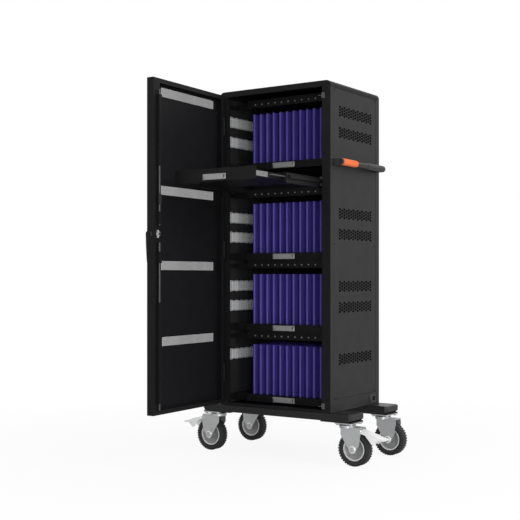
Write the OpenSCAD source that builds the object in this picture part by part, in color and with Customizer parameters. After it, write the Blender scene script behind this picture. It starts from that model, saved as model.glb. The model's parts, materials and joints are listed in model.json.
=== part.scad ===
// Charging cabinet for portable computers: a tall sheet metal body on two
// outrigger beams and four casters, with a vented swing door, four pull-out
// shelves of divided bays, a pull-out work tray and a push handle.
// The origin is on the floor under the middle of the body. The door is on
// the -Y side and the push handle on the +X side. Lengths are millimetres.

/* [Body] */
// Width of the body over its side panels
body_w = 490; // [486:1:540]
// Depth of the body from the door opening to the back
body_d = 380; // [378:1:420]
// Thickness of the folded sheet metal
sheet_t = 2; // [1.6:0.1:2.2]
// Width of the posts beside the door opening
post_w = 35; // [30:1:36]
// Height of the rail above the door opening
top_rail_h = 21; // [16:1:24]
// Height of the rail below the door opening
bottom_rail_h = 8; // [6:0.5:8]
// Depth of the folded edge round the door opening
return_d = 18; // [12:1:24]
// Radius of the long top edges
top_r = 18; // [12:1:20]
// Width of a removable side cover's frame on each side
cover_margin = 28; // [26:1:34]

/* [Bays] */
// Height from one shelf to the next
bay_pitch = 273; // [262:1:300]
// Height of the bay that the work tray slides into
tray_bay_h = 74; // [70:1:90]
// Gap between the floor of the body and the lowest shelf
floor_gap = 9; // [9:0.5:12]
// Height from the top header to the top of the body
head_gap = 27; // [26:1:50]
// Room between a shelf and the outside of the body, on each side
side_room = 73; // [71:0.5:75]
// Room behind the shelves for the power parts
rear_room = 50; // [46:1:58]
// Height of a shelf's front panel
shelf_front_h = 28; // [25:1:32]
// Distance from the door opening back to the shelf fronts
shelf_inset = 72; // [68:1:76]
// Room between the outermost divider and the side of a shelf
bay_margin = 17; // [14:0.5:25]
// Thickness of one divider
divider_t = 10; // [8:0.5:10.5]
// Number of device slots on a shelf
slot_count = 10; // [8:1:10]
// Height of a divider
divider_h = 192; // [150:1:198]
// Room behind the dividers on a shelf
divider_rear = 15; // [12:1:60]
// Height of the header panel over a bay
header_h = 30; // [28:1:32]
// Depth of the header panel
header_d = 90; // [60:1:150]

/* [Work tray] */
// Height of the tray's front panel
tray_front_h = 31; // [29:0.5:33]
// Room behind the tray when it is pushed in
tray_rear = 50; // [49:1:70]
// How far the tray runs on its carriage
tray_travel = 160; // [140:1:162]
// How far the carriage runs out of the body
carriage_travel = 210; // [190:1:214]
// Height of the carriage channel
carriage_h = 36; // [35:0.5:37]

/* [Door] */
// Width of the right-hand post that the closed door leaves bare
door_margin = 20; // [18:1:30]
// Width of the left-hand post that the closed door leaves bare
hinge_margin = 27; // [25:0.5:30]
// Thickness of the door
door_t = 28; // [27:0.5:34]
// Gap between the closed door and the body
door_gap = 2; // [1.8:0.1:3]
// Angle that the door stands open, in degrees
door_open = 87.5; // [86:0.5:90]
// Width of the box section down the door's free edge
stile_w = 37; // [34:1:42]
// Radius of the lock rods
rod_r = 4; // [3:0.1:4.5]
// How far a lock rod moves
rod_travel = 18; // [10:1:20]

/* [Perforation] */
// Height of a side vent
vent_h = 43; // [32:0.5:48]
// Room between a side vent and the edge of its cover
vent_margin = 24; // [20:1:42]
// Distance between columns of cells
cell_px = 17; // [15:0.5:22]
// Distance between cells in one column
cell_pz = 10.6; // [9:0.1:14]
// Metal left between two cells
cell_rib = 2; // [1.6:0.1:3]

/* [Base] */
// Height of a caster from the floor to the top of its plate
caster_h = 157; // [153:1:165]
// Gap between a wheel and the yoke over it
wheel_clear = 12; // [9:0.5:21]
// Width of a tyre
tyre_w = 35; // [30:0.5:36]
// Distance that a wheel's axle trails its swivel axis
trail = 32; // [28:0.5:34]
// Distance of a swivel axis from the end of its beam
swivel_inset = 41; // [38:1:45]
// Length of a beam
beam_l = 658; // [654:1:700]
// Width of a beam
beam_d = 100; // [96:1:112]
// Height of a beam
beam_h = 29; // [25:0.5:36]
// Thickness of the pad under each end of a beam
pad_t = 4; // [3:0.5:6]

/* [Push handle] */
// Height of the push handle over the floor
handle_z = 1097; // [1000:1:1150]
// Distance from the side panel to the middle of the bar
handle_reach = 31; // [26:1:45]
// Radius of the bar
handle_r = 10; // [8:0.5:11]
// Length of the soft sleeve on the bar
sleeve_l = 109; // [80:1:140]
// Radius of the soft sleeve
sleeve_r = 12.5; // [12:0.5:15]

/* [Hidden] */
$fn = 48;

// Clearances shared by every fit
run_gap = 0.06;
slide_gap = 0.5;
cut_over = 1;

// Edges of the body that follow from the driving sizes
half_w = body_w / 2;
half_d = body_d / 2;
inner_x = half_w - sheet_t;
lip_x = inner_x - sheet_t;
rear_y = half_d - 2 * sheet_t;
open_x = half_w - post_w;
body_z0 = caster_h + pad_t + beam_h;
shelf4_z = body_z0 + floor_gap;
body_z1 = shelf4_z + 4 * bay_pitch + tray_bay_h + head_gap;
open_z0 = body_z0 + bottom_rail_h;
open_z1 = body_z1 - top_rail_h;
function shelf_z(k) = shelf4_z + (4 - k) * bay_pitch + (k == 1 ? tray_bay_h : 0);
function header_z(k) = shelf_z(k) + bay_pitch - header_h - slide_gap;

// Side panels and covers
vent_w = body_d - 2 * (cover_margin + vent_margin);
flange_h = 24;
cover_rise = 47;
cover_seat = 10;
cover_t = 1.5;
reveal = 1;
rear_flange_w = 22;
cover_y = half_d - cover_margin;
cover_z0 = body_z0 + cover_rise;
cover_z1 = body_z1 - flange_h - reveal;
bay_vent_shares = [[0.659], [0.355, 0.637], [0.337, 0.615], [0.429, 0.714]];
vent_z = [for (b = [0:3]) for (s = bay_vent_shares[b]) shelf_z(4 - b) + s * bay_pitch];
screw_r = 2;
screw_head_r = 4.5;
screw_head_h = 2;
screw_inset = 5;

// Shelves and dividers
shelf_y0 = -half_d + shelf_inset;
shelf_d = body_d - shelf_inset - rear_room;
half_shelf = half_w - side_room;
slot_pitch = (2 * (half_shelf - bay_margin) - divider_t) / slot_count;
runner_w = 14.5;
runner_rise = 12;
divider_inset = 18;
divider_d = shelf_d - divider_inset - divider_rear;
divider_r = 4.5;
pull_w = 96;
pull_h = 20;
pull_t = 3;
pull_r = 2;
grip_rim = 4;
grip_depth = 2;
ledge_setback = 19;
ledge_y0 = shelf_y0 + ledge_setback;
wall_setback = 25;
wall_y0 = -half_d + wall_setback;
notch_clear = 4;

// Headers and charge lights
header_inset = 8;
header_y0 = shelf_y0 + header_inset;
wing_drop = 12;
light_r = 2;
light_rim = 0.7;
light_t = 0.8;
light_share = 0.4;

// Work tray, measured up from the tray bay's floor
tray_d = body_d - tray_rear;
tray_bay = 2;
tray_floor_z = header_z(tray_bay) + header_h + sheet_t;
tray_front_y = -half_d - tray_travel - carriage_travel;
tray_panel_drop = 9.5;
tray_panel_z = tray_floor_z - tray_panel_drop;
tray_inset = 4;
tray_half = half_shelf - tray_inset;
tray_wall_h = 19.5;
tray_lip_h = 13;
tongue_rise = 7.5;
tongue_z = tray_floor_z + tongue_rise;
tongue_h = 4;
tongue_w = 18;
tongue_x = tray_half + tongue_w;
runner_front_l = 75;
carriage_drop = 12.5;
carriage_z = tray_floor_z - carriage_drop;
carriage_side_gap = 2.5;
carriage_w = 15.5;
carriage_lip_w = 37;
carriage_x0 = half_shelf + carriage_side_gap;
carriage_x1 = carriage_x0 + carriage_w;
carriage_lip_x = carriage_x1 - carriage_lip_w;
carriage_front_gap = 1;
carriage_rear_gap = 4;
carriage_tie = 10;
carriage_y0 = tray_front_y + tray_travel + sheet_t + carriage_front_gap;
carriage_y1 = tray_front_y + tray_travel + tray_d + carriage_rear_gap + carriage_tie;
rib_w = 10;
rib_x = carriage_x1 + rib_w;
rib_rise = 16;
rib_z = carriage_z + rib_rise;
rib_h = 12;
tray_rail_wall = 6;
tray_rail_x = rib_x + tray_rail_wall;
tray_rail_y0 = -half_d + return_d;
tray_rail_rise = 6;
tray_rail_z0 = carriage_z + tray_rail_rise;
tray_rail_h = 32;

// Door, drawn closed and then swung open about its hinge axis
knuckle_r = 5;
hinge_pin_r = 2.5;
knuckle_h = 22;
leaf_t = 2;
leaf_w = 22;
leaf_reach = 19;
leaf_clear = 4.5;
hinge_stand = 1;
door_x0 = -half_w + hinge_margin;
hinge_x = door_x0 - knuckle_r - hinge_stand;
hinge_y = -half_d - knuckle_r - hinge_stand;
door_x1 = half_w - door_margin;
door_y1 = -half_d - door_gap;
door_y0 = door_y1 - door_t;
door_rise = 7;
door_drop = 15;
door_z0 = body_z0 + door_rise;
door_z1 = body_z1 - door_drop;
door_h = door_z1 - door_z0;
frame_w = 16;
hinge_shares = [0.1, 0.5, 0.9];
grille_z_shares = [0.9668, 0.6713, 0.4446, 0.2149];
grille_h = 35;
grille_start = 30;
grille_end = 77;
slit_w = 3;
slit_pitch = 6;
slit_margin = 1.5;
grille_x0 = door_x0 + grille_start;
grille_x1 = door_x1 - grille_end;
grille_seat = 6;
grille_t = 1;

// Lock on the door's free edge
rod_inset = 23;
rod_rise = 9;
rod_x = door_x1 - rod_inset;
rod_y = door_y1 + rod_rise;
lock_share = 0.5373;
lock_z = door_z0 + lock_share * door_h;
case_w = 24;
case_h = 72;
plate_w = 32;
plate_t = 4;
plate_up = 42;
plate_down = 118;
spindle_r = 5;
cam_r = 7.6;
cam_h = 26;
cam_t = 8;
lever_w = 22;
lever_l = 104;
lever_t = 12;
lever_gap = 1;
key_rise = 27;
key_r = 6;
latch_h = 14;
latch_w = 7;
latch_t = 2;
guide_w = 13;
guide_t = 14;
guide_shares = [[0.0287, 0.0659], [0.2012, 0.4125], [-0.5029, -0.2029], [-0.0862, -0.0524]];
link_h = 41;
link_w = 13;
link_t = 3;
link_share = 0.0862;
buffer_r = 4.5;
buffer_t = 1.5;
buffer_shares = [-0.131, -0.152];
strike_t = 1.2;
strike_w = 12;
strike_h = 20;
strike_d = 18;
strike_fall = 33;
strike_rise = 15;
rod_clear = 2;
rod_start = 30;

// Power parts
inlet_back = 57;
inlet_rise = 22;
inlet_y = half_d - inlet_back;
inlet_z = body_z0 + inlet_rise;
inlet_w = 50;
inlet_h = 32;
inlet_t = 2;
inlet_depth = 20;
inlet_rim = 3;
socket_w = 21;
socket_h = 16;
rocker_w = 13;
rocker_h = 22;
pin_r = 1.2;
strip_margin = 12;
strip_l = 2 * (half_shelf - strip_margin);
strip_h = 40;
strip_d = 32;
strip_share = 0.44;
strip_y = rear_y - sheet_t - strip_d;
outlet_r = 11;
outlet_depth = 8;

// Base and casters
cap_t = 10;
beam_r = 4;
beam_wall = 2.5;
cap_chamfer = 9;
pad_l = 128;
pad_inset = 2;
pad_w = beam_d - 2 * beam_r;
plate_l = 72;
plate_d = 90;
plate_h = 4;
plate_shift = 6;
bolt_r = 4;
bolt_head_r = 6.5;
bolt_head_h = 5;
bolt_inset = 9;
swivel_x = beam_l / 2 - swivel_inset;
race_r = 27;
race_h = 6;
kingpin_r = 6;
crown_r = 30;
crown_h = 5.5;
yoke_t = 4;
yoke_z = caster_h - plate_h - race_h - slide_gap - crown_h - yoke_t;
wheel_r = (yoke_z - wheel_clear) / 2;
leg_t = 3;
tyre_clear = 3.5;
leg_gap = tyre_w + 2 * tyre_clear;
axle_r = 6;
axle_head_r = 10;
axle_head_h = 6;
hub_r = 14;
rim_share = 0.688;
rim_r = rim_share * wheel_r;
rim_w = 27;
tread_count = 26;
tread_d = 2.5;
shoulder_share = 0.72;
crown_share = 0.4;
swivel_y = half_d - beam_d / 2;
pedal_pin_r = 3;
pedal_hub_r = 6;

// Push handle
handle_front_setback = 18;
handle_rear_setback = 28;
handle_y0 = -half_d + handle_front_setback;
handle_y1 = half_d - handle_rear_setback;
arm_w = 11;
arm_h = 24;
grip_l = 130;
grip_taper = 14;

black = [0.11, 0.11, 0.12];
soft_black = [0.05, 0.05, 0.05];
indigo = [0.22, 0.17, 0.52];
orange = [0.9, 0.42, 0.18];
pale = [0.85, 0.86, 0.86];
steel = [0.66, 0.67, 0.68];
zinc = [0.74, 0.75, 0.76];

// A box between two corners
module block(lo, hi) {
    translate(lo) cube([for (i = [0:2]) hi[i] - lo[i]]);
}

// A shape and its mirror image across the plane that the vector names
module both(v) {
    children();
    mirror(v) children();
}

// A rectangle about the origin with true round corners
module round_rect(w, h, r) {
    square([w - 2 * r, h], center = true);
    square([w, h - 2 * r], center = true);
    for (x = [-1, 1], y = [-1, 1])
        translate([x * (w / 2 - r), y * (h / 2 - r)]) circle(r);
}

// A slot with round ends
module slot_outline(l, h) {
    square([l - h, h], center = true);
    for (x = [-1, 1]) translate([x * (l - h) / 2, 0]) circle(h / 2);
}

module slot_outline_up(w, h) rotate(90) slot_outline(h, w);

// A rod along X, Y or Z from a point
module rod_along_x(p, r, l) translate(p) rotate([0, 90, 0]) cylinder(r = r, h = l);
module rod_along_y(p, r, l) translate(p) rotate([-90, 0, 0]) cylinder(r = r, h = l);
module rod_along_z(p, r, l) translate(p) cylinder(r = r, h = l);

// A field of stretched hexagonal cells, staggered by half a cell per column
module cell() {
    k = 1 - cell_rib / cell_pz;
    polygon([for (s = [[2, 0], [1, 1], [-1, 1], [-2, 0], [-1, -1], [1, -1]])
        [k * s[0] * cell_px / 3, k * s[1] * cell_pz / 2]]);
}
module cell_field(w, h) {
    columns = floor(w / 2 / cell_px - 2 / 3);
    rows = ceil(h / cell_pz);
    for (i = [-columns:columns], j = [-rows:rows]) {
        z = (j + (abs(i) % 2) / 2) * cell_pz;
        if (abs(z) + cell_pz / 2 <= h / 2) translate([i * cell_px, z]) cell();
    }
}

// Body
module front_frame() color(black) {
    translate([0, -half_d + sheet_t, 0]) rotate([90, 0, 0]) linear_extrude(sheet_t)
        difference() {
            union() {
                translate([-half_w, body_z0]) square([body_w, body_z1 - body_z0 - top_r]);
                translate([-half_w + top_r, body_z0]) square([body_w - 2 * top_r, body_z1 - body_z0]);
                both([1, 0]) translate([half_w - top_r, body_z1 - top_r]) circle(top_r);
            }
            translate([-open_x, open_z0]) square([2 * open_x, open_z1 - open_z0]);
        }
    difference() {
        block([-open_x - sheet_t, -half_d + sheet_t, open_z0 - sheet_t],
              [open_x + sheet_t, -half_d + return_d, open_z1 + sheet_t]);
        block([-open_x, -half_d, open_z0], [open_x, 0, open_z1]);
    }
}

module top_panel() color(black)
    translate([0, half_d, 0]) rotate([90, 0, 0]) linear_extrude(body_d - sheet_t)
        difference() {
            top_outline(0);
            top_outline(sheet_t);
        }

module top_outline(inset) intersection() {
    translate([0, body_z1 - 2 * top_r])
        round_rect(body_w - 2 * inset, 4 * top_r - 2 * inset, top_r - inset);
    translate([-half_w, body_z1 - flange_h - (inset > 0 ? cut_over : 0)])
        square([body_w, flange_h + cut_over]);
}

module floor_panel() color(black)
    block([-lip_x, -half_d + sheet_t, body_z0], [lip_x, rear_y, body_z0 + sheet_t]);

cover_screw_z = [cover_z0 + screw_inset, (cover_z0 + cover_z1) / 2, cover_z1 - screw_inset];

module side_panel() {
    difference() {
        union() {
            block([inner_x, -half_d + sheet_t, body_z0], [half_w, half_d, body_z1 - flange_h]);
            block([lip_x, -half_d + sheet_t, body_z0], [inner_x, half_d - sheet_t, body_z1 - top_r]);
            block([half_w - rear_flange_w, rear_y, body_z0 + sheet_t],
                  [inner_x, half_d - sheet_t, body_z1 - flange_h]);
        }
        block([inner_x, -cover_y - reveal, cover_z0 - reveal],
              [half_w + cut_over, cover_y + reveal, body_z1]);
        block([lip_x - cut_over, -cover_y + cover_seat, cover_z0 + cover_seat],
              [inner_x + cut_over, cover_y - cover_seat, cover_z1 - cover_seat]);
        for (y = [-1, 1], z = cover_screw_z)
            rod_along_x([lip_x - cut_over, y * (cover_y - screw_inset), z],
                        screw_r + run_gap, 2 * sheet_t);
        for (z = back_screw_z)
            rod_along_y([back_x - 2 * screw_inset, rear_y - cut_over, z], screw_r + run_gap, 2 * sheet_t);
    }
}

module left_side() color(black) mirror([1, 0, 0]) side_panel();

module right_side() color(black) difference() {
    side_panel();
    block([lip_x - cut_over, inlet_y - inlet_w / 2 + inlet_rim, inlet_z - inlet_h / 2 + inlet_rim],
          [half_w + cut_over, inlet_y + inlet_w / 2 - inlet_rim, inlet_z + inlet_h / 2 - inlet_rim]);
}

module side_cover()
    translate([inner_x, 0, 0]) rotate([90, 0, 90]) linear_extrude(cover_t) difference() {
        translate([-cover_y, cover_z0]) square([2 * cover_y, cover_z1 - cover_z0]);
        for (z = vent_z) translate([0, z]) cell_field(vent_w, vent_h);
        for (y = [-1, 1], z = cover_screw_z)
            translate([y * (cover_y - screw_inset), z]) circle(screw_r + run_gap);
    }

module left_cover() color(black) mirror([1, 0, 0]) side_cover();
module right_cover() color(black) side_cover();

back_x = inner_x - slide_gap;
back_rise = 3;
back_z0 = body_z0 + back_rise;
back_z1 = body_z1 - flange_h - slide_gap;
back_screw_z = [back_z0 + 2 * screw_inset, (back_z0 + back_z1) / 2, back_z1 - 2 * screw_inset];
louvre_l = 150;
louvre_h = 6;
louvre_pitch = 16;
louvre_count = 8;
louvre_z_shares = [0.26, 0.78];
louvre_x_share = 0.4;

module back_cover() color(black)
    translate([0, half_d, 0]) rotate([90, 0, 0]) linear_extrude(sheet_t) difference() {
        translate([-back_x, back_z0]) square([2 * back_x, back_z1 - back_z0]);
        for (s = louvre_z_shares, x = [-1, 1], i = [0:louvre_count - 1])
            translate([x * louvre_x_share * half_w, back_z0 + s * (back_z1 - back_z0)
                       + (i - (louvre_count - 1) / 2) * louvre_pitch])
                slot_outline(louvre_l, louvre_h);
        for (x = [-1, 1], z = back_screw_z)
            translate([x * (back_x - 2 * screw_inset), z]) circle(screw_r + run_gap);
    }

module screw() {
    cylinder(r = screw_head_r, h = screw_head_h);
    translate([0, 0, -cover_t - sheet_t]) cylinder(r = screw_r, h = cover_t + sheet_t);
}

module cover_screws() color(steel) {
    both([1, 0, 0]) for (y = [-1, 1], z = cover_screw_z)
        translate([inner_x + cover_t, y * (cover_y - screw_inset), z]) rotate([0, 90, 0]) screw();
    for (x = [-1, 1], z = back_screw_z)
        translate([x * (back_x - 2 * screw_inset), half_d, z]) rotate([-90, 0, 0]) screw();
}

// Beams, each a tube with a chamfered plug in both ends and a pad under them
module beam() {
    rotate([90, 0, 90]) translate([0, 0, -beam_l / 2 + cap_t]) linear_extrude(beam_l - 2 * cap_t)
        difference() {
            round_rect(beam_d, beam_h, beam_r);
            round_rect(beam_d - 2 * beam_wall, beam_h - 2 * beam_wall, beam_r - beam_wall);
        }
    both([1, 0, 0]) hull() {
        translate([beam_l / 2 - cap_t, 0, 0]) rotate([90, 0, 90])
            linear_extrude(cap_t / 4) round_rect(beam_d, beam_h, beam_r, $fn = 16);
        translate([beam_l / 2 - cap_t / 4, 0, cap_chamfer / 4]) rotate([90, 0, 90])
            linear_extrude(cap_t / 4)
                round_rect(beam_d - cap_chamfer, beam_h - cap_chamfer, beam_r, $fn = 16);
    }
}

module beam_pads() difference() {
    both([1, 0, 0]) block([beam_l / 2 - pad_l, -pad_w / 2, caster_h],
                          [beam_l / 2 - pad_inset, pad_w / 2, caster_h + pad_t]);
    both([1, 0, 0]) plate_holes();
}

module beam_at(side) color(black) translate([0, side * (half_d - beam_d / 2), 0]) {
    translate([0, 0, body_z0 - beam_h / 2]) beam();
    beam_pads();
}

module front_beam() beam_at(-1);
module rear_beam() beam_at(1);

// Headers over the bays, with wings out to the side panels
module header(k) {
    z = header_z(k);
    difference() {
        block([-half_shelf, header_y0, z], [half_shelf, header_y0 + header_d, z + header_h]);
        block([-half_shelf + sheet_t, header_y0 + sheet_t, z + sheet_t],
              [half_shelf - sheet_t, header_y0 + header_d + cut_over, z + header_h - sheet_t]);
        for (i = [0:slot_count - 1])
            rod_along_y([light_x(i), header_y0 - cut_over, z + light_share * header_h],
                        light_r + run_gap, sheet_t + 2 * cut_over);
    }
    both([1, 0, 0]) {
        block([half_shelf - sheet_t, ledge_y0, z], [lip_x, ledge_y0 + sheet_t, z + header_h - wing_drop]);
        block([lip_x - sheet_t, wall_y0, z], [lip_x, ledge_y0 + sheet_t, z + header_h - wing_drop]);
    }
}
function light_x(i) = (i - (slot_count - 1) / 2) * slot_pitch;

module headers() color(black) for (k = [1:4]) header(k);

module charge_lights() color(pale) for (k = [1:4], i = [0:slot_count - 1]) {
    p = [light_x(i), header_y0, header_z(k) + light_share * header_h];
    rod_along_y(p - [0, light_t, 0], light_r + light_rim, light_t);
    rod_along_y(p, light_r, sheet_t);
}

// Rails that carry the shelves, one folded bracket on each side of each shelf
module shelf_rail(k) {
    z = shelf_z(k);
    rail_x = half_shelf + runner_w + slide_gap;
    difference() {
        union() {
            block([half_shelf + sheet_t, ledge_y0, z + runner_rise - slide_gap - sheet_t],
                  [rail_x + sheet_t, shelf_y0 + shelf_d, z + runner_rise + 2 * sheet_t + slide_gap]);
            block([rail_x, ledge_y0, z], [lip_x, ledge_y0 + sheet_t, z + shelf_front_h]);
            block([rail_x, ledge_y0, z], [rail_x + sheet_t, rear_y, z + shelf_front_h]);
            block([rail_x, ledge_y0, z + shelf_front_h - sheet_t], [lip_x, rear_y, z + shelf_front_h]);
            block([lip_x - sheet_t, wall_y0, z], [lip_x, rear_y, z + shelf_front_h]);
        }
        block([half_shelf, ledge_y0 - cut_over, z + runner_rise - slide_gap],
              [rail_x, rear_y, z + runner_rise + sheet_t + slide_gap]);
        block([half_w - inlet_depth - notch_clear, inlet_y - inlet_w / 2 - notch_clear, z - cut_over],
              [half_w, inlet_y + inlet_w / 2 + notch_clear, z + shelf_front_h + cut_over]);
    }
}

module shelf_rails() color(black) for (k = [1:4]) both([1, 0, 0]) shelf_rail(k);

// Pull-out shelf, an upturned pan with a runner along each side
module shelf(k) color(black) {
    z = shelf_z(k);
    y1 = shelf_y0 + shelf_d;
    block([-half_shelf, shelf_y0, z + shelf_front_h - sheet_t], [half_shelf, y1, z + shelf_front_h]);
    block([-half_shelf, shelf_y0, z], [half_shelf, shelf_y0 + sheet_t, z + shelf_front_h]);
    block([-half_shelf, y1 - sheet_t, z], [half_shelf, y1, z + shelf_front_h]);
    both([1, 0, 0]) {
        block([half_shelf - sheet_t, shelf_y0, z], [half_shelf, y1, z + shelf_front_h]);
        block([half_shelf - sheet_t, shelf_y0 + divider_inset + sheet_t, z + runner_rise],
              [half_shelf + runner_w, y1, z + runner_rise + sheet_t]);
    }
}

module shelf_dividers(k) color(indigo) for (i = [0:slot_count])
    translate([(i - slot_count / 2) * slot_pitch, shelf_y0 + divider_inset + divider_d / 2,
               shelf_z(k) + shelf_front_h])
        linear_extrude(divider_h) round_rect(divider_t, divider_d, divider_r);

// Recessed pull on a shelf or tray front, drawn about its middle
module pull() color(zinc) rotate([90, 0, 0]) difference() {
    linear_extrude(pull_t) round_rect(pull_w, pull_h, pull_r);
    translate([0, 0, pull_t - grip_depth]) linear_extrude(pull_t)
        round_rect(pull_w - 2 * grip_rim, pull_h - 2 * grip_rim, pull_r);
}

module shelf_pull(k) translate([0, shelf_y0, shelf_z(k) + shelf_front_h / 2]) pull();

module shelf_1() shelf(1);
module shelf_2() shelf(2);
module shelf_3() shelf(3);
module shelf_4() shelf(4);
module shelf_1_dividers() shelf_dividers(1);
module shelf_2_dividers() shelf_dividers(2);
module shelf_3_dividers() shelf_dividers(3);
module shelf_4_dividers() shelf_dividers(4);
module shelf_1_pull() shelf_pull(1);
module shelf_2_pull() shelf_pull(2);
module shelf_3_pull() shelf_pull(3);
module shelf_4_pull() shelf_pull(4);

// Work tray, drawn pulled out
module tray_pan() color(black) {
    y1 = tray_front_y + tray_d;
    block([-tray_half, tray_front_y, tray_floor_z], [tray_half, y1, tray_floor_z + sheet_t]);
    block([-half_shelf, tray_front_y, tray_panel_z],
          [half_shelf, tray_front_y + sheet_t, tray_panel_z + tray_front_h]);
    block([-half_shelf, tray_front_y + sheet_t / 2, tray_panel_z],
          [half_shelf, tray_front_y + sheet_t, tray_panel_z + tray_front_h + tray_lip_h]);
    block([-tray_half, y1 - sheet_t, tray_floor_z], [tray_half, y1, tray_floor_z + tray_wall_h]);
    both([1, 0, 0])
        block([tray_half - sheet_t, tray_front_y, tray_floor_z], [tray_half, y1, tray_floor_z + tray_wall_h]);
}

module tray_pull() translate([0, tray_front_y, tray_panel_z + tray_front_h / 2]) pull();

module tray_runners() color(zinc) both([1, 0, 0]) difference() {
    union() {
        block([tray_half, tray_front_y + 2 * sheet_t, tray_floor_z],
              [tray_half + sheet_t, tray_front_y + runner_front_l, tray_floor_z + tray_wall_h]);
        block([tray_half, tray_front_y + 2 * sheet_t, tongue_z],
              [tongue_x, tray_front_y + tray_d, tongue_z + tongue_h]);
    }
    block([tray_half + sheet_t, tray_front_y, tongue_z - cut_over],
          [tongue_x + cut_over, tray_front_y + runner_front_l, tongue_z + tongue_h + cut_over]);
}

module tray_carriage() color(black) {
    y1 = carriage_y1;
    both([1, 0, 0]) difference() {
        union() {
            block([carriage_x0, carriage_y0, carriage_z], [carriage_x1, y1, carriage_z + carriage_h]);
            block([carriage_lip_x, carriage_y0, carriage_z + carriage_h - sheet_t],
                  [carriage_x1, y1, carriage_z + carriage_h]);
            block([carriage_x1, carriage_y0 + cap_t, rib_z], [rib_x, y1, rib_z + rib_h]);
        }
        block([carriage_x0 - cut_over, carriage_y0 - cut_over, tongue_z - slide_gap],
              [tongue_x + slide_gap, y1 + cut_over, tongue_z + tongue_h + slide_gap]);
    }
    block([-carriage_x0, y1 - carriage_tie, tray_floor_z],
          [carriage_x0, y1, carriage_z + carriage_h]);
}

module tray_rails() color(steel) both([1, 0, 0]) {
    difference() {
        block([carriage_x1 + slide_gap, tray_rail_y0, tray_rail_z0],
              [tray_rail_x, rear_y, tray_rail_z0 + tray_rail_h]);
        block([carriage_x1, tray_rail_y0 - cut_over, rib_z - slide_gap],
              [rib_x + slide_gap, rear_y + cut_over, rib_z + rib_h + slide_gap]);
    }
    block([tray_rail_x, tray_rail_y0, rib_z], [lip_x, rear_y, rib_z + sheet_t]);
    block([lip_x - sheet_t, tray_rail_y0, tray_rail_z0], [lip_x, rear_y, tray_rail_z0 + tray_rail_h]);
}

// Door, drawn closed inside swung()
module swung() translate([hinge_x, hinge_y, 0]) rotate([0, 0, -door_open])
    translate([-hinge_x, -hinge_y, 0]) children();

function grille_z(i) = door_z0 + grille_z_shares[i] * door_h - grille_h / 2;

module door_panel() color(black) swung() difference() {
    block([door_x0, door_y0, door_z0], [door_x1, door_y1, door_z1]);
    difference() {
        block([door_x0 + sheet_t, door_y0 + sheet_t, door_z0 + sheet_t],
              [door_x1 - sheet_t, door_y1 - sheet_t, door_z1 - sheet_t]);
        block([door_x1 - stile_w, door_y0, door_z0], [door_x1 - stile_w + sheet_t, door_y1, door_z1]);
    }
    block([door_x0 + frame_w, door_y1 - 2 * sheet_t, door_z0 + frame_w],
          [door_x1 - stile_w, door_y1 + cut_over, door_z1 - frame_w]);
    for (i = [0:3])
        block([grille_x0, door_y0 - cut_over, grille_z(i)],
              [grille_x1, door_y0 + sheet_t + cut_over, grille_z(i) + grille_h]);
    // Cut-outs for the lock case, its latch and the handle's spindle
    block([rod_x - case_w / 2, door_y0 - cut_over, lock_z - case_h / 2],
          [rod_x + case_w / 2, door_y0 + sheet_t + cut_over, lock_z + case_h / 2]);
    rod_along_y([rod_x, door_y1 - 2 * sheet_t, lock_z], spindle_r + slide_gap, 3 * sheet_t);
    block([door_x1 - 2 * sheet_t, rod_y - door_t / 2 - latch_w, lock_z - latch_h / 2],
          [door_x1 + cut_over, rod_y - door_t / 2, lock_z + latch_h / 2]);
}

// A row of upright slits
module slit_row(w, h) for (i = [0:floor(w / slit_pitch) - 1])
    translate([(i + 0.5) * slit_pitch - floor(w / slit_pitch) * slit_pitch / 2 - slit_w / 2,
               slit_margin - h / 2])
        square([slit_w, h - 2 * slit_margin]);

module door_grilles() color(black) swung() for (i = [0:3])
    translate([(grille_x0 + grille_x1) / 2, door_y0 + sheet_t + grille_t, grille_z(i) + grille_h / 2])
        rotate([90, 0, 0]) linear_extrude(grille_t) difference() {
            square([grille_x1 - grille_x0 + 2 * grille_seat, grille_h + 2 * grille_seat], center = true);
            slit_row(grille_x1 - grille_x0, grille_h);
        }

function hinge_z(s) = door_z0 + s * door_h - 3 * knuckle_h / 2;

module hinge_leaves() color(black) for (s = hinge_shares) {
    z = hinge_z(s);
    for (i = [0, 2]) {
        rod_along_z([hinge_x, hinge_y, z + i * knuckle_h], knuckle_r, knuckle_h - slide_gap);
        block([hinge_x - leaf_clear - leaf_t, -half_d - leaf_t, z + i * knuckle_h],
              [hinge_x, -half_d, z + (i + 1) * knuckle_h - slide_gap]);
    }
    rod_along_z([hinge_x, hinge_y, z], hinge_pin_r, 3 * knuckle_h - slide_gap);
    block([hinge_x - leaf_reach, -half_d - leaf_t, z],
          [hinge_x - leaf_clear, -half_d, z + 3 * knuckle_h - slide_gap]);
}

module door_knuckles() color(black) swung() for (s = hinge_shares) {
    z = hinge_z(s);
    difference() {
        union() {
            rod_along_z([hinge_x, hinge_y, z + knuckle_h], knuckle_r, knuckle_h - slide_gap);
            block([door_x0 - leaf_t, hinge_y - leaf_clear - leaf_t, z + knuckle_h],
                  [door_x0, hinge_y, z + 2 * knuckle_h - slide_gap]);
            block([door_x0 - leaf_t, hinge_y - leaf_w, z],
                  [door_x0, hinge_y - leaf_clear, z + 3 * knuckle_h - slide_gap]);
        }
        rod_along_z([hinge_x, hinge_y, z], hinge_pin_r + run_gap, 3 * knuckle_h);
    }
}

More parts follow.
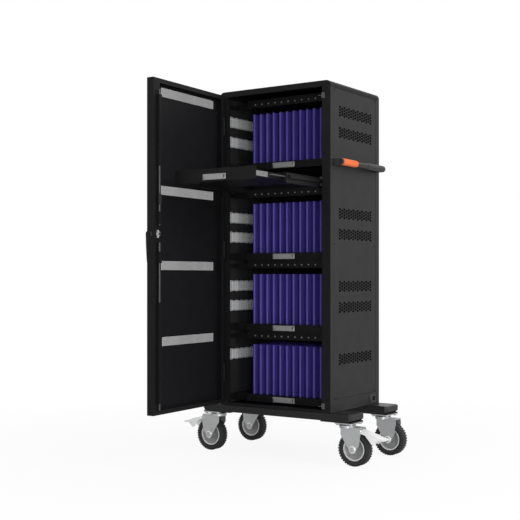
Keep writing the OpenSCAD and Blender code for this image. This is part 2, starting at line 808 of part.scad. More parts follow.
// Lock: the case sits in the stile, with a plate on the door's outer face
module lock_case() color(soft_black) swung() difference() {
    union() {
        block([rod_x - case_w / 2, door_y0, lock_z - case_h / 2],
              [rod_x + case_w / 2, door_y1 - 2 * sheet_t, lock_z + case_h / 2]);
        block([rod_x - plate_w / 2, door_y0 - plate_t, lock_z - plate_down],
              [rod_x + plate_w / 2, door_y0, lock_z + plate_up]);
        block([rod_x, rod_y - door_t / 2 - latch_w + slide_gap, lock_z - latch_h / 2 + slide_gap],
              [door_x1 + latch_t, rod_y - door_t / 2 - slide_gap, lock_z + latch_h / 2 - slide_gap]);
    }
    rod_along_y([rod_x, door_y0 - plate_t - cut_over, lock_z], spindle_r + run_gap, door_t + 2 * plate_t);
    rod_along_y([rod_x, door_y0 - plate_t - cut_over, lock_z + key_rise], key_r + run_gap, plate_t + cut_over + sheet_t);
}

module latch_handle() color(soft_black) swung() {
    y0 = door_y0 - plate_t - lever_gap - lever_t;
    rod_along_y([rod_x, y0, lock_z], spindle_r, rod_y + cam_t / 2 - y0);
    translate([rod_x, y0 + lever_t, lock_z]) rotate([90, 0, 0]) linear_extrude(lever_t) {
        circle(lever_w / 2 + sheet_t);
        translate([0, -lever_l / 2]) round_rect(lever_w, lever_l, lever_w / 3);
    }
}

module lock_cam() color(pale) swung() difference() {
    union() {
        rod_along_y([rod_x, door_y1 + slide_gap, lock_z], cam_r, cam_t);
        block([rod_x - rod_r, door_y1 + slide_gap, lock_z - cam_h / 2],
              [rod_x + rod_r, door_y1 + slide_gap + link_t, lock_z + cam_h / 2]);
    }
    rod_along_y([rod_x, door_y1, lock_z], spindle_r + run_gap, 2 * cam_t);
}

module key_plug() color(zinc) swung() difference() {
    rod_along_y([rod_x, door_y0 - plate_t - sheet_t, lock_z + key_rise], key_r, plate_t + 1.5 * sheet_t);
    block([rod_x - pin_r / 2, door_y0 - plate_t - 2 * sheet_t, lock_z + key_rise - key_r / 2],
          [rod_x + pin_r / 2, door_y0 - plate_t, lock_z + key_rise + key_r / 2]);
}

// Lock rods, drawn back, with their guides on the stile
upper_rod_z0 = lock_z + rod_start;
upper_rod_z1 = open_z1 - strike_fall - rod_clear;
lower_rod_z1 = lock_z - rod_start;
lower_rod_z0 = open_z0 + strike_rise + rod_clear;

module upper_rod() color(steel) swung() {
    rod_along_z([rod_x, rod_y, upper_rod_z0], rod_r, upper_rod_z1 - upper_rod_z0);
    translate([rod_x, rod_y + rod_r, lock_z + link_share * door_h + link_h / 2]) rotate([90, 0, 0])
        linear_extrude(link_t) difference() {
            slot_outline_up(link_w, link_h);
            for (z = [-1, 1]) translate([0, z * link_h / 4]) circle(link_t);
        }
}

module lower_rod() color(steel) swung()
    rod_along_z([rod_x, rod_y, lower_rod_z0], rod_r, lower_rod_z1 - lower_rod_z0);

module guide(z0, z1) difference() {
    block([rod_x - guide_w / 2, door_y1, z0], [rod_x + guide_w / 2, door_y1 + guide_t, z1]);
    rod_along_z([rod_x, rod_y, z0 - cut_over], rod_r + run_gap, z1 - z0 + 2 * cut_over);
}

module rod_guides() color(black) swung()
    for (g = guide_shares) guide(lock_z + g[0] * door_h, lock_z + g[1] * door_h);

module door_buffers() color(pale) swung() for (s = buffer_shares)
    rod_along_y([rod_x - guide_w / 2 - buffer_r, door_y1, lock_z + s * door_h], buffer_r, buffer_t);

// Strikes on the right-hand post that the rods enter when the door is shut
module strike(z, up) translate([0, 0, z]) mirror([0, 0, up ? 0 : 1]) {
    block([open_x - strike_t, -half_d - strike_t, -strike_h / 2],
          [open_x + strike_w, -half_d, strike_h / 2]);
    block([open_x - strike_t, -half_d - strike_t, -strike_h / 2],
          [open_x, -half_d + strike_d, strike_h / 2]);
    difference() {
        block([rod_x - 2 * rod_r, -half_d, 0], [open_x, -half_d + strike_d, sheet_t]);
        rod_along_z([rod_x, rod_y, -cut_over], rod_r + slide_gap, sheet_t + 2 * cut_over);
    }
}

module strike_plates() color(zinc) {
    strike(open_z1 - strike_fall, true);
    strike(open_z0 + strike_rise, false);
}

// Power inlet with its rocker switch, and a strip of sockets behind each bay
module power_inlet() color(soft_black) {
    translate([half_w, inlet_y, inlet_z]) rotate([90, 0, 90]) {
        difference() {
            union() {
                linear_extrude(inlet_t) round_rect(inlet_w, inlet_h, inlet_rim);
                translate([0, 0, -inlet_depth]) linear_extrude(inlet_depth)
                    square([inlet_w - 2 * inlet_rim - slide_gap, inlet_h - 2 * inlet_rim - slide_gap],
                           center = true);
            }
            translate([socket_x, 0, -inlet_depth + inlet_rim]) linear_extrude(inlet_depth + inlet_t)
                round_rect(socket_w, socket_h, inlet_rim);
            translate([rocker_x, 0, -inlet_depth + inlet_rim]) linear_extrude(inlet_depth + inlet_t)
                square([rocker_w, rocker_h], center = true);
        }
        for (x = [-1, 0, 1])
            translate([socket_x + x * socket_w / 4, (x == 0 ? 1 : -1) * socket_h / 8, -inlet_depth + inlet_rim])
                cylinder(r = pin_r, h = inlet_depth - inlet_rim);
    }
}
socket_x = inlet_w / 2 - inlet_rim - socket_w / 2 - sheet_t;
rocker_x = -inlet_w / 2 + inlet_rim + rocker_w / 2 + sheet_t;

rocker_r = rocker_h / 2 - slide_gap;
module power_switch() color(soft_black) translate([half_w - sheet_t, inlet_y + rocker_x, inlet_z])
    rotate([90, 0, 0]) linear_extrude(rocker_w - 2 * slide_gap, center = true) intersection() {
        circle(rocker_r);
        rotate(8) square([inlet_depth / 2, 2 * rocker_r], center = true);
    }

module power_strip(k) {
    z = shelf_z(k) + strip_share * bay_pitch;
    difference() {
        block([-strip_l / 2, strip_y, z], [strip_l / 2, strip_y + strip_d, z + strip_h]);
        for (i = [0:slot_count - 1])
            rod_along_y([light_x(i), strip_y - cut_over, z + strip_h / 2], outlet_r, outlet_depth + cut_over);
    }
    block([-lip_x + sheet_t, rear_y - sheet_t, z], [lip_x - sheet_t, rear_y, z + strip_h]);
}

module power_strips() color(soft_black) for (k = [1:4]) power_strip(k);

// Push handle on the right-hand side
handle_x = half_w + handle_reach;
module push_handle() color(black) {
    rod_along_y([handle_x, handle_y0, handle_z], handle_r, handle_y1 - handle_y0);
    rod_along_y([handle_x, handle_y1 - grip_l, handle_z], sleeve_r, grip_l);
    translate([handle_x, handle_y1 - grip_l, handle_z]) rotate([90, 0, 0])
        cylinder(r1 = sleeve_r, r2 = handle_r, h = grip_taper);
    for (y = [handle_y0, handle_y1 - arm_w])
        translate([half_w, y + arm_w, handle_z]) rotate([90, 0, 0]) linear_extrude(arm_w) {
            translate([0, -arm_h / 2]) square([handle_reach, arm_h]);
            translate([handle_reach, 0]) circle(arm_h / 2);
        }
}

module handle_sleeve() color(orange) translate([handle_x, handle_y0 + arm_w, handle_z])
    rotate([-90, 0, 0]) difference() {
        union() {
            cylinder(r = sleeve_r, h = sleeve_l - arm_w);
            translate([0, 0, sleeve_l - arm_w])
                cylinder(r1 = sleeve_r, r2 = handle_r + cut_over, h = arm_w);
        }
        translate([0, 0, -cut_over]) cylinder(r = handle_r + run_gap, h = sleeve_l + 2 * cut_over);
    }

// Casters, each drawn about its swivel axis with the wheel towards +X
module caster_at(side_x, side_y) translate([side_x * swivel_x, side_y * swivel_y, 0])
    mirror([side_x > 0 ? 0 : 1, 0, 0]) children();

module plate_bolts_at() for (x = [-1, 1], y = [-1, 1])
    translate([plate_shift + x * (plate_l / 2 - bolt_inset), y * (plate_d / 2 - bolt_inset), caster_h])
        children();

module plate_holes() translate([swivel_x, 0, 0]) plate_bolts_at()
    translate([0, 0, -plate_h - cut_over]) cylinder(r = bolt_r + run_gap, h = plate_h + pad_t + 2 * cut_over);

module caster_plate() {
    difference() {
        union() {
            translate([plate_shift, 0, caster_h - plate_h]) linear_extrude(plate_h)
                round_rect(plate_l, plate_d, beam_r);
            rod_along_z([0, 0, caster_h - plate_h - race_h], race_r, race_h);
        }
        rod_along_z([0, 0, 0], kingpin_r + run_gap, caster_h - sheet_t);
        plate_bolts_at() translate([0, 0, -plate_h - cut_over])
            cylinder(r = bolt_r + run_gap, h = plate_h + 2 * cut_over);
    }
    plate_bolts_at() {
        translate([0, 0, -plate_h]) cylinder(r = bolt_r, h = plate_h + pad_t);
        translate([0, 0, -plate_h - bolt_head_h]) cylinder(r = bolt_head_r, h = bolt_head_h, $fn = 6);
    }
}

module caster_plates() color(zinc) for (sx = [-1, 1], sy = [-1, 1]) caster_at(sx, sy) caster_plate();

yoke_x0 = -16;
yoke_x1 = 62;
leg_r = 16;

module fork(pedal) {
    difference() {
        union() {
            rod_along_z([0, 0, yoke_z], crown_r, crown_h + yoke_t);
            rod_along_z([0, 0, yoke_z], kingpin_r, caster_h - 2 * sheet_t - yoke_z);
            translate([(yoke_x0 + yoke_x1) / 2, 0, yoke_z]) linear_extrude(yoke_t)
                round_rect(yoke_x1 - yoke_x0, leg_gap + 2 * leg_t, leg_t);
            for (s = [-1, 1]) translate([0, s * (leg_gap + leg_t) / 2, 0]) rotate([90, 0, 0])
                linear_extrude(leg_t, center = true) fork_leg();
        }
        rod_along_y([trail, -leg_gap, wheel_r], axle_r + run_gap, 2 * leg_gap);
    }
    rod_along_y([trail, -leg_gap / 2 - leg_t, wheel_r], axle_r, leg_gap + 2 * leg_t);
    both([0, 1, 0]) rod_along_y([trail, leg_gap / 2 + leg_t, wheel_r], axle_head_r, axle_head_h, $fn = 6);
    if (pedal) rod_along_y([pedal_x, -leg_gap / 2, pedal_z], pedal_pin_r, leg_gap);
}

module fork_leg() {
    polygon([[yoke_x0, yoke_z + yoke_t], [yoke_x1, yoke_z + yoke_t], [yoke_x1 + leg_t, yoke_z - 4 * leg_t],
             [trail + leg_r * 1.7, wheel_r + leg_r], [trail + leg_r, wheel_r],
             [trail - leg_r, wheel_r], [yoke_x0, yoke_z - 8 * leg_t]]);
    translate([trail, wheel_r]) circle(leg_r);
}

// Brake pedal, hinged between the legs over the wheel
pedal_x = 58;
pedal_fall = 8.5;
pedal_z = yoke_z - pedal_fall;
pedal_w = leg_gap - 2 * slide_gap;
module pedal() difference() {
    union() {
        rod_along_y([pedal_x, -pedal_w / 2, pedal_z], pedal_hub_r, pedal_w);
        for (s = [-1, 1]) translate([0, s * (pedal_w / 2 - leg_t / 2), 0]) rotate([90, 0, 0])
            linear_extrude(leg_t, center = true) pedal_outline(pedal_side_shares);
        rotate([90, 0, 0]) linear_extrude(pedal_w, center = true) pedal_outline(pedal_top_shares);
    }
    rod_along_y([pedal_x, -pedal_w, pedal_z], pedal_pin_r + run_gap, 2 * pedal_w);
}

pedal_l = 100;
pedal_drop = 44;
pedal_side_shares = [[0, 0.12], [0.6, -0.25], [0.76, -0.4], [1, -0.52], [0.98, -0.62],
                     [0.76, -0.6], [0.58, -1], [0.5, -0.96], [0.24, -0.28], [0, -0.12]];
pedal_top_shares = [[0.05, 0.09], [0.6, -0.25], [0.76, -0.4], [1, -0.52],
                    [0.98, -0.6], [0.76, -0.48], [0.6, -0.33], [0.05, 0.01]];
module pedal_outline(shares) polygon([for (s = shares)
    [pedal_x + s[0] * pedal_l, pedal_z + s[1] * pedal_drop]]);

module wheel() {
    translate([trail, 0, wheel_r]) rotate([90, 0, 0]) {
        color(soft_black) difference() {
            rotate_extrude($fn = 72) tyre_section();
            for (s = [-1, 1], i = [0:tread_count - 1])
                rotate(360 / tread_count * (i + (s > 0 ? 1 / 2 : 0)))
                    translate([wheel_r - tread_d, -tread_d, s > 0 ? tyre_w / 7 : -tyre_w])
                        cube([2 * tread_d, 2 * tread_d, tyre_w * 6 / 7]);
        }
        color(pale) rotate_extrude($fn = 72) rim_section();
    }
}

module tyre_section() {
    edge = tyre_w / 2;
    polygon([[rim_r, -rim_w / 2], [rim_r, rim_w / 2], [rim_r + 4 * leg_t, edge], [wheel_r - 2 * leg_t, edge],
             [wheel_r - leg_t / 2, edge * shoulder_share], [wheel_r, edge * crown_share], [wheel_r, -edge * crown_share],
             [wheel_r - leg_t / 2, -edge * shoulder_share], [wheel_r - 2 * leg_t, -edge], [rim_r + 4 * leg_t, -edge]]);
}

module rim_section() {
    bore = axle_r + run_gap;
    hub = leg_gap / 2 - slide_gap;
    lip = rim_w / 2;
    polygon([[bore, -hub], [hub_r, -hub], [hub_r + leg_t, -lip / 3], [rim_r - 3 * leg_t, -lip / 3],
             [rim_r - 2 * leg_t, -lip], [rim_r, -lip], [rim_r, lip], [rim_r - 2 * leg_t, lip],
             [rim_r - 3 * leg_t, lip / 3], [hub_r + leg_t, lip / 3], [hub_r, hub], [bore, hub]]);
}

module fork_front_left() color(steel) caster_at(-1, -1) fork(true);
module fork_front_right() color(steel) caster_at(1, -1) fork(true);
module fork_rear_left() color(steel) caster_at(-1, 1) fork(false);
module fork_rear_right() color(steel) caster_at(1, 1) fork(false);
module wheel_front_left() caster_at(-1, -1) wheel();
module wheel_front_right() caster_at(1, -1) wheel();
module wheel_rear_left() caster_at(-1, 1) wheel();
module wheel_rear_right() caster_at(1, 1) wheel();
module pedal_front_left() color(zinc) caster_at(-1, -1) pedal();
module pedal_front_right() color(zinc) caster_at(1, -1) pedal();

front_frame();
top_panel();
floor_panel();
left_side();
right_side();
left_cover();
right_cover();
back_cover();
front_beam();
rear_beam();
cover_screws();
headers();
charge_lights();
shelf_rails();
tray_rails();
push_handle();
handle_sleeve();
power_inlet();
power_switch();
strike_plates();
hinge_leaves();
power_strips();
caster_plates();
door_panel();
door_grilles();
door_knuckles();
lock_case();
rod_guides();
door_buffers();
key_plug();
latch_handle();
lock_cam();
upper_rod();
lower_rod();
tray_pan();
tray_pull();
tray_runners();
tray_carriage();
shelf_1();
shelf_2();
shelf_3();
shelf_4();
shelf_1_dividers();
shelf_2_dividers();
shelf_3_dividers();
shelf_4_dividers();
shelf_1_pull();
shelf_2_pull();
shelf_3_pull();
shelf_4_pull();
fork_front_left();
fork_front_right();
fork_rear_left();
fork_rear_right();
wheel_front_left();
wheel_front_right();
wheel_rear_left();
wheel_rear_right();
pedal_front_left();
pedal_front_right();
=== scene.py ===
# %% [markdown]
# # Dressing a charging cabinet
#
# The cabinet is a tall body of folded, powder coated sheet steel on two beams
# and four casters. Its vented door stands open, a work tray is pulled out, and
# four shelves carry indigo dividers. The solid model comes in as a fixed frame,
# and each cell below gives one family of pieces its edges, details and finish.

import json
import math

import bmesh
import bpy
from mathutils import Matrix, Vector


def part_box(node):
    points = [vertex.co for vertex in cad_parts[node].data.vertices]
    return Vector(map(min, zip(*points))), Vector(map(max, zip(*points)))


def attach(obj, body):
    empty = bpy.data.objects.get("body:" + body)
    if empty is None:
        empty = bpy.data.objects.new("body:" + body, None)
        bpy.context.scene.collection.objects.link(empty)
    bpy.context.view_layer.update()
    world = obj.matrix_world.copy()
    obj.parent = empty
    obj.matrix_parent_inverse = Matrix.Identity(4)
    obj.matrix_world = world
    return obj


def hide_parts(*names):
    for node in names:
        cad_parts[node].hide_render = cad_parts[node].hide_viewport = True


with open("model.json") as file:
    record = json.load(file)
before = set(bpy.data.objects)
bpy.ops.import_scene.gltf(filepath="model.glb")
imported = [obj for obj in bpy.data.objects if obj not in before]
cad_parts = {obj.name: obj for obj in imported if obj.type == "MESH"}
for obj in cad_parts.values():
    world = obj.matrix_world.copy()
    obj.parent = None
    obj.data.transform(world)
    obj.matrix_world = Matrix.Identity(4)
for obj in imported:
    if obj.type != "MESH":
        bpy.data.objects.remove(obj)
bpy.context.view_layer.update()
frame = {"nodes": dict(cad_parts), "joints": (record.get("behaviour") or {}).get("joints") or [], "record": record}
cad_nodes = frame["nodes"]
joint_of = {joint["name"]: joint for joint in frame["joints"]}
body_of = {
    node: body
    for body, members in frame["record"]["behaviour"]["bodies"].items()
    for node in members
}
MM = 0.001
CORNERS = ("front_left", "front_right", "rear_left", "rear_right")
SHELVES = range(1, 5)

# %% [markdown]
# ## Finishes
#
# Most surfaces here are real shop finishes: textured powder coat, moulded
# plastic, zinc plate, drawn steel, rubber. A few colours paint light and shade
# instead, as noted where they stand. Each is a Principled shader with
# noise for grain, a little uneven gloss and a faint drift of colour. Noise reads
# Object coordinates, so its grain keeps one real size on every piece.


# %% A finish in a few lines
def link(tree, source, target):
    tree.links.new(source, target)


def noise(tree, coords, size, detail=2.0, stretch=(1, 1, 1)):
    """Noise whose blobs are about `size` metres across."""
    place = tree.nodes.new("ShaderNodeMapping")
    place.inputs["Scale"].default_value = stretch
    link(tree, coords, place.inputs["Vector"])
    grain = tree.nodes.new("ShaderNodeTexNoise")
    grain.inputs["Scale"].default_value = 1 / size
    grain.inputs["Detail"].default_value = detail
    link(tree, place.outputs["Vector"], grain.inputs["Vector"])
    return grain.outputs["Fac"]


def spread(tree, value, low, high):
    """The noise's middle range, stretched over low to high."""
    band = tree.nodes.new("ShaderNodeMapRange")
    band.inputs["From Min"].default_value = 0.3
    band.inputs["From Max"].default_value = 0.7
    band.inputs["To Min"].default_value = low
    band.inputs["To Max"].default_value = high
    link(tree, value, band.inputs["Value"])
    return band.outputs["Result"]


def finish(
    name, colour, roughness, grain, depth, metallic=0.0, specular=0.5,
    drift=0.12, gloss_drift=0.06, stretch=(1, 1, 1), drift_size=0.06,
):
    """A material with grain of one real size, in metres, and an uneven gloss."""
    material = bpy.data.materials.new(name)
    material.use_nodes = True
    tree = material.node_tree
    shader = tree.nodes["Principled BSDF"]
    shader.inputs["Metallic"].default_value = metallic
    shader.inputs["Specular IOR Level"].default_value = specular
    coords = tree.nodes.new("ShaderNodeTexCoord").outputs["Object"]
    blotch = noise(tree, coords, drift_size, 3.0, stretch)
    shade = tree.nodes.new("ShaderNodeMix")
    shade.data_type = "RGBA"
    shade.inputs["A"].default_value = [c * (1 - drift) for c in colour] + [1]
    shade.inputs["B"].default_value = [min(1, c * (1 + drift)) for c in colour] + [1]
    link(tree, spread(tree, blotch, 0, 1), shade.inputs["Factor"])
    link(tree, shade.outputs["Result"], shader.inputs["Base Color"])
    speckle = noise(tree, coords, grain, 2.0, stretch)
    gloss = spread(tree, speckle, roughness - gloss_drift, roughness + gloss_drift)
    link(tree, gloss, shader.inputs["Roughness"])
    bump = tree.nodes.new("ShaderNodeBump")
    bump.inputs["Strength"].default_value = 1.0
    bump.inputs["Distance"].default_value = depth
    link(tree, speckle, bump.inputs["Height"])
    link(tree, bump.outputs["Normal"], shader.inputs["Normal"])
    return material


# %% The cabinet's finishes
FINISHES = {
    "body_black": finish(
        "textured powder coat", (0.0056, 0.0056, 0.0063), 0.5, 0.0011, 0.00012,
        specular=0.12,
    ),
    # The sides are the same powder coat as the body, about three times lighter here: painted light from the lamp
    # on the right.
    "side_black": finish(
        "powder coat with painted side light", (0.0175, 0.0175, 0.018), 0.52, 0.0011, 0.00012,
        specular=0.14,
    ),
    "beam_black": finish(
        "smooth powder coat", (0.0085, 0.0085, 0.009), 0.38, 0.0025, 0.00006,
        specular=0.26,
    ),
    "black_plastic": finish(
        "moulded black plastic", (0.012, 0.012, 0.013), 0.46, 0.0008, 0.00006,
        specular=0.4,
    ),
    "indigo_plastic": finish(
        "indigo plastic", (0.056, 0.041, 0.26), 0.42, 0.0009, 0.00005,
        specular=0.3, drift=0.06,
    ),
    "grip_orange": finish(
        "orange soft grip", (0.62, 0.118, 0.03), 0.62, 0.0007, 0.00008,
        specular=0.3, drift=0.05,
    ),
    "zinc_plate": finish(
        "bright zinc plate", (0.46, 0.465, 0.47), 0.38, 0.0016, 0.00002,
        metallic=0.8, drift=0.05, drift_size=0.03,
    ),
    "rod_steel": finish(
        "drawn steel", (0.055, 0.055, 0.057), 0.5, 0.0012, 0.00003,
        metallic=0.9, stretch=(1, 1, 0.04),
    ),
    "pull_grey": finish(
        "satin grey", (0.26, 0.26, 0.264), 0.5, 0.0009, 0.00003,
        metallic=0.25, drift=0.06,
    ),
    "light_window": finish(
        "frosted window", (0.2, 0.2, 0.195), 0.35, 0.0006, 0.00002, drift=0.05
    ),
    "link_white": finish(
        "pale moulded link", (0.4, 0.4, 0.4), 0.4, 0.0009, 0.00004, drift=0.06
    ),
    "tyre": finish(
        "tyre rubber", (0.016, 0.016, 0.0165), 0.72, 0.0009, 0.0001, specular=0.3
    ),
}
# The rim is one grey moulding in two tones: the bowl is darkened as painted shade and the lip lightened as a
# painted highlight.
RIM_PAINTED_SHADE_GREY = finish(
    "rim grey with painted shade", (0.2, 0.202, 0.205), 0.36, 0.001, 0.00004, drift=0.05
)
RIM_PAINTED_HIGHLIGHT_GREY = finish("rim lip grey with painted highlight", (0.6, 0.6, 0.605), 0.4, 0.001, 0.00004, drift=0.05)
PEDAL_ZINC = finish(
    "polished zinc pedal", (0.86, 0.86, 0.86), 0.34, 0.0016, 0.00003,
    metallic=0.6, drift=0.05,
)
# Near-black painted shade, put in the runner plates' holes, the keyway and the gaps of the swivel races.
PAINTED_SHADE_BLACK = finish(
    "near black painted shade", (0.004, 0.004, 0.004), 0.6, 0.0008, 0.00003, specular=0.2
)
BURNISHED = finish(
    "burnished steel", (0.09, 0.09, 0.093), 0.4, 0.0012, 0.00003, metallic=0.8
)
# A near-white sheet behind the vent ribs: painted light on the ribs.
PAINTED_RIB_LIGHT = finish(
    "near white sheet painting lit ribs", (0.86, 0.86, 0.865), 0.5, 0.0009, 0.00003,
    metallic=0.2, drift=0.06,
)
PLATE_GREY = finish(
    "shaded grey plate", (0.15, 0.15, 0.153), 0.5, 0.0009, 0.00003,
    metallic=0.2, drift=0.06,
)
# A near-black sheet behind the vent holes: painted shade seen through them.
PAINTED_VENT_SHADE = finish(
    "black sheet painting vent shade", (0.004, 0.004, 0.004), 0.95, 0.0006, 0.0002, specular=0.02
)
slot_of = {
    part["node"]: part["material_slot"] for part in frame["record"]["subparts"]
}
print("finishes:", len(bpy.data.materials))

# %% [markdown]
# ## From a bmesh to a piece of the cabinet
#
# Every new piece ends the same way: its bmesh becomes an object, it takes a
# finish, it rides on the body that carries it and it stands for its solid. Flat
# sheet metal needs honest flat shading beside its rounded edges, so faces that
# meet at more than a small angle stay sharp and the rest share weighted normals.


# %% Pieces
def piece(bm, name, node, material=None, replaces=True, smooth=20):
    mesh = bpy.data.meshes.new(name)
    bm.to_mesh(mesh)
    bm.free()
    mesh.materials.append(material or FINISHES[slot_of[node]])
    mesh.shade_smooth()
    mesh.set_sharp_from_angle(angle=math.radians(smooth))
    made = bpy.data.objects.new(name, mesh)
    bpy.context.scene.collection.objects.link(made)
    even = made.modifiers.new("even shading", "WEIGHTED_NORMAL")
    even.keep_sharp = True
    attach(made, body_of[node])
    if replaces:
        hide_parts(node)
    return made


def shape_of(bm):
    """A bmesh kept as a mesh, to be stamped many times."""
    mesh = bpy.data.meshes.new("shape")
    bm.to_mesh(mesh)
    bm.free()
    return mesh


def stamp(bm, shape, matrix):
    """Adds a copy of a shape to a bmesh, moved by a matrix."""
    moved = shape.copy()
    moved.transform(matrix)
    bm.from_mesh(moved)
    bpy.data.meshes.remove(moved)


def merged(node):
    """A CAD node's loose triangles, merged into clean flat faces."""
    bm = bmesh.new()
    bm.from_mesh(cad_nodes[node].data)
    bmesh.ops.remove_doubles(bm, verts=bm.verts, dist=0.005 * MM)
    bmesh.ops.dissolve_limit(
        bm, angle_limit=math.radians(0.5), verts=bm.verts, edges=bm.edges
    )
    return bm


def solids_of(node):
    """The low and high corners of each separate solid in a node."""
    bm = merged(node)
    left, boxes = set(bm.verts), []
    while left:
        grown, edge = set(), {left.pop()}
        while edge:
            grown |= edge
            edge = {e.other_vert(v) for v in edge for e in v.link_edges} - grown
        left -= grown
        boxes.append(tuple(
            Vector([pick(v.co[i] for v in grown) for i in range(3)])
            for pick in (min, max)
        ))
    bm.free()
    return boxes


def round_edges(bm, width, segments=2, edges=None, sharper=30):
    """Bevels the given edges, or every edge sharper than an angle."""
    if edges is None:
        edges = [
            e for e in bm.edges
            if len(e.link_faces) == 2 and e.calc_face_angle() > math.radians(sharper)
        ]
    bmesh.ops.bevel(
        bm, geom=edges, offset=width, offset_type="OFFSET", segments=segments,
        profile=0.5, affect="EDGES", material=-1, clamp_overlap=True,
    )


def lathe(profile, steps):
    """A solid turned about Z from (radius, height) points."""
    bm = bmesh.new()
    line = [bm.verts.new((r, 0, z)) for r, z in profile]
    edges = [bm.edges.new(pair) for pair in zip(line, line[1:])]
    bmesh.ops.spin(
        bm, geom=line + edges, cent=(0, 0, 0), axis=(0, 0, 1),
        angle=2 * math.pi, steps=steps, use_merge=True,
    )
    bmesh.ops.remove_doubles(bm, verts=bm.verts, dist=0.001 * MM)
    bmesh.ops.recalc_face_normals(bm, faces=bm.faces)
    return bm


def bar(size, width, segments=3):
    """A block about the origin with rounded edges."""
    bm = bmesh.new()
    bmesh.ops.create_cube(bm, size=1, matrix=Matrix.Diagonal((*size, 1)))
    round_edges(bm, width, segments)
    return bm


def ring(bm, half_w, half_h, corner, z, shift=0, steps=5):
    """A rounded rectangle of edges about the origin at height z."""
    line = []
    for quarter, (sx, sy) in enumerate(((1, 1), (-1, 1), (-1, -1), (1, -1))):
        for i in range(steps + 1):
            turn = (quarter + i / steps) * math.pi / 2
            line.append(bm.verts.new((
                shift + sx * (half_w - corner) + corner * math.cos(turn),
                sy * (half_h - corner) + corner * math.sin(turn), z,
            )))
    return [bm.edges.new(pair) for pair in zip(line, line[1:] + line[:1])]


def stacked(sections):
    """A closed solid through rounded rectangles, one for each section."""
    bm = bmesh.new()
    loops = [ring(bm, *section) for section in sections]
    for one, two in zip(loops, loops[1:]):
        bmesh.ops.bridge_loops(bm, edges=one + two)
    for loop in (loops[0], loops[-1]):
        bmesh.ops.contextual_create(bm, geom=loop)
    bmesh.ops.recalc_face_normals(bm, faces=bm.faces)
    return bm


TO_LEFT = Matrix.Rotation(-math.pi / 2, 4, "Y")
TO_RIGHT = Matrix.Rotation(math.pi / 2, 4, "Y")
TO_FRONT = Matrix.Rotation(math.pi / 2, 4, "X")
TO_BACK = Matrix.Rotation(-math.pi / 2, 4, "X")


def middle(box):
    return (box[0] + box[1]) / 2


# %% [markdown]
# ## Folded sheet steel
#
# A folded edge has an inside radius close to the sheet's thickness, and that
# small round is what catches the light on a black cabinet. The solids have
# sharp edges, so a merged copy of each gets a bevel well under the thickness.
# The perforated covers keep the solid's own mesh: their cells are all edge.

# %% Soft edges on sheet metal, brackets and fittings
EDGE = {
    "front_frame": 0.6, "top_panel": 0.5, "floor_panel": 0.5,
    "left_side": 0.4, "right_side": 0.4,
    "headers": 0.35, "shelf_rails": 0.35, "tray_rails": 0.4,
    "tray_pan": 0.35, "tray_runners": 0.4, "tray_carriage": 0.7,
    "door_panel": 0.6, "door_knuckles": 0.4, "hinge_leaves": 0.4,
    "strike_plates": 0.3, "power_strips": 0.8, "caster_plates": 0.5,
    "lock_case": 0.6, "rod_guides": 1.0, "lock_cam": 0.7,
    "upper_rod": 0.5, "lower_rod": 0.5, "power_inlet": 0.4,
}
for shelf in SHELVES:
    EDGE[f"shelf_{shelf}"] = 0.5
for corner in CORNERS:
    EDGE[f"fork_{corner}"] = 0.5
for corner in CORNERS[:2]:
    EDGE[f"pedal_{corner}"] = 0.5

WORN = {node: BURNISHED for node in ("strike_plates", "tray_rails", "tray_runners")}
WORN |= {f"pedal_front_{side}": PEDAL_ZINC for side in ("left", "right")}
for node, width in EDGE.items():
    bm = merged(node)
    round_edges(bm, width * MM)
    piece(bm, f"{node}_softened", node, WORN.get(node))
print("softened:", len(EDGE))

# %% [markdown]
# ## Behind the vents
#
# Seen from inside, the vents show pale ribs round small dark holes, and from
# outside they are dark. Here that light and shade are painted: a thin near-white
# sheet with smaller cells lies behind each field and paints the light on the ribs,
# and a black sheet between it and the cover paints the shade in the holes. Both
# are a guess at what gives that look, and at this picture size the holes blur
# into a grey.
# The sheet's tiles come from the cover itself: each loop of points round a cell
# grows until it meets its neighbours and shrinks to the hole, and six faces join
# the two. So both layers of cells line up.

# %% Painted light on the vent ribs and painted shade in the holes
HOLE_SHARE = 0.68
FIELD_GAP = 15 * MM
LIGHT_SHEET_T, SHADE_SHEET_T, SHADE_SHEET_BORDER = 0.5 * MM, 0.4 * MM, 3 * MM


def open_skin(node, axis, facing):
    """The triangles of a node that look one way along an axis."""
    bm = bmesh.new()
    bm.from_mesh(cad_nodes[node].data)
    bmesh.ops.remove_doubles(bm, verts=bm.verts, dist=0.005 * MM)
    bm.normal_update()
    away = [f for f in bm.faces if f.normal[axis] * facing < 0.9]
    bmesh.ops.delete(bm, geom=away, context="FACES")
    return bm


def hole_loops(bm):
    """The places of the points round each opening in an open skin."""
    left = {v for e in bm.edges if e.is_boundary for v in e.verts}
    loops = []
    while left:
        grown, edge = set(), {left.pop()}
        while edge:
            grown |= edge
            edge = {
                e.other_vert(v) for v in edge for e in v.link_edges if e.is_boundary
            } - grown
        left -= grown
        loops.append([v.co.copy() for v in grown])
    bm.free()
    return sorted(loops, key=lambda loop: [round(c, 5) for c in min(loop, key=tuple)])


def second_skin(bm):
    """Pulls a second skin off an open sheet and returns its points, to be moved."""
    risen = bmesh.ops.extrude_face_region(bm, geom=bm.faces[:])
    return [g for g in risen["geom"] if isinstance(g, bmesh.types.BMVert)]


def extent(points):
    """The low and high corners of some points."""
    return [Vector([pick(p[i] for p in points) for i in range(3)]) for pick in (min, max)]


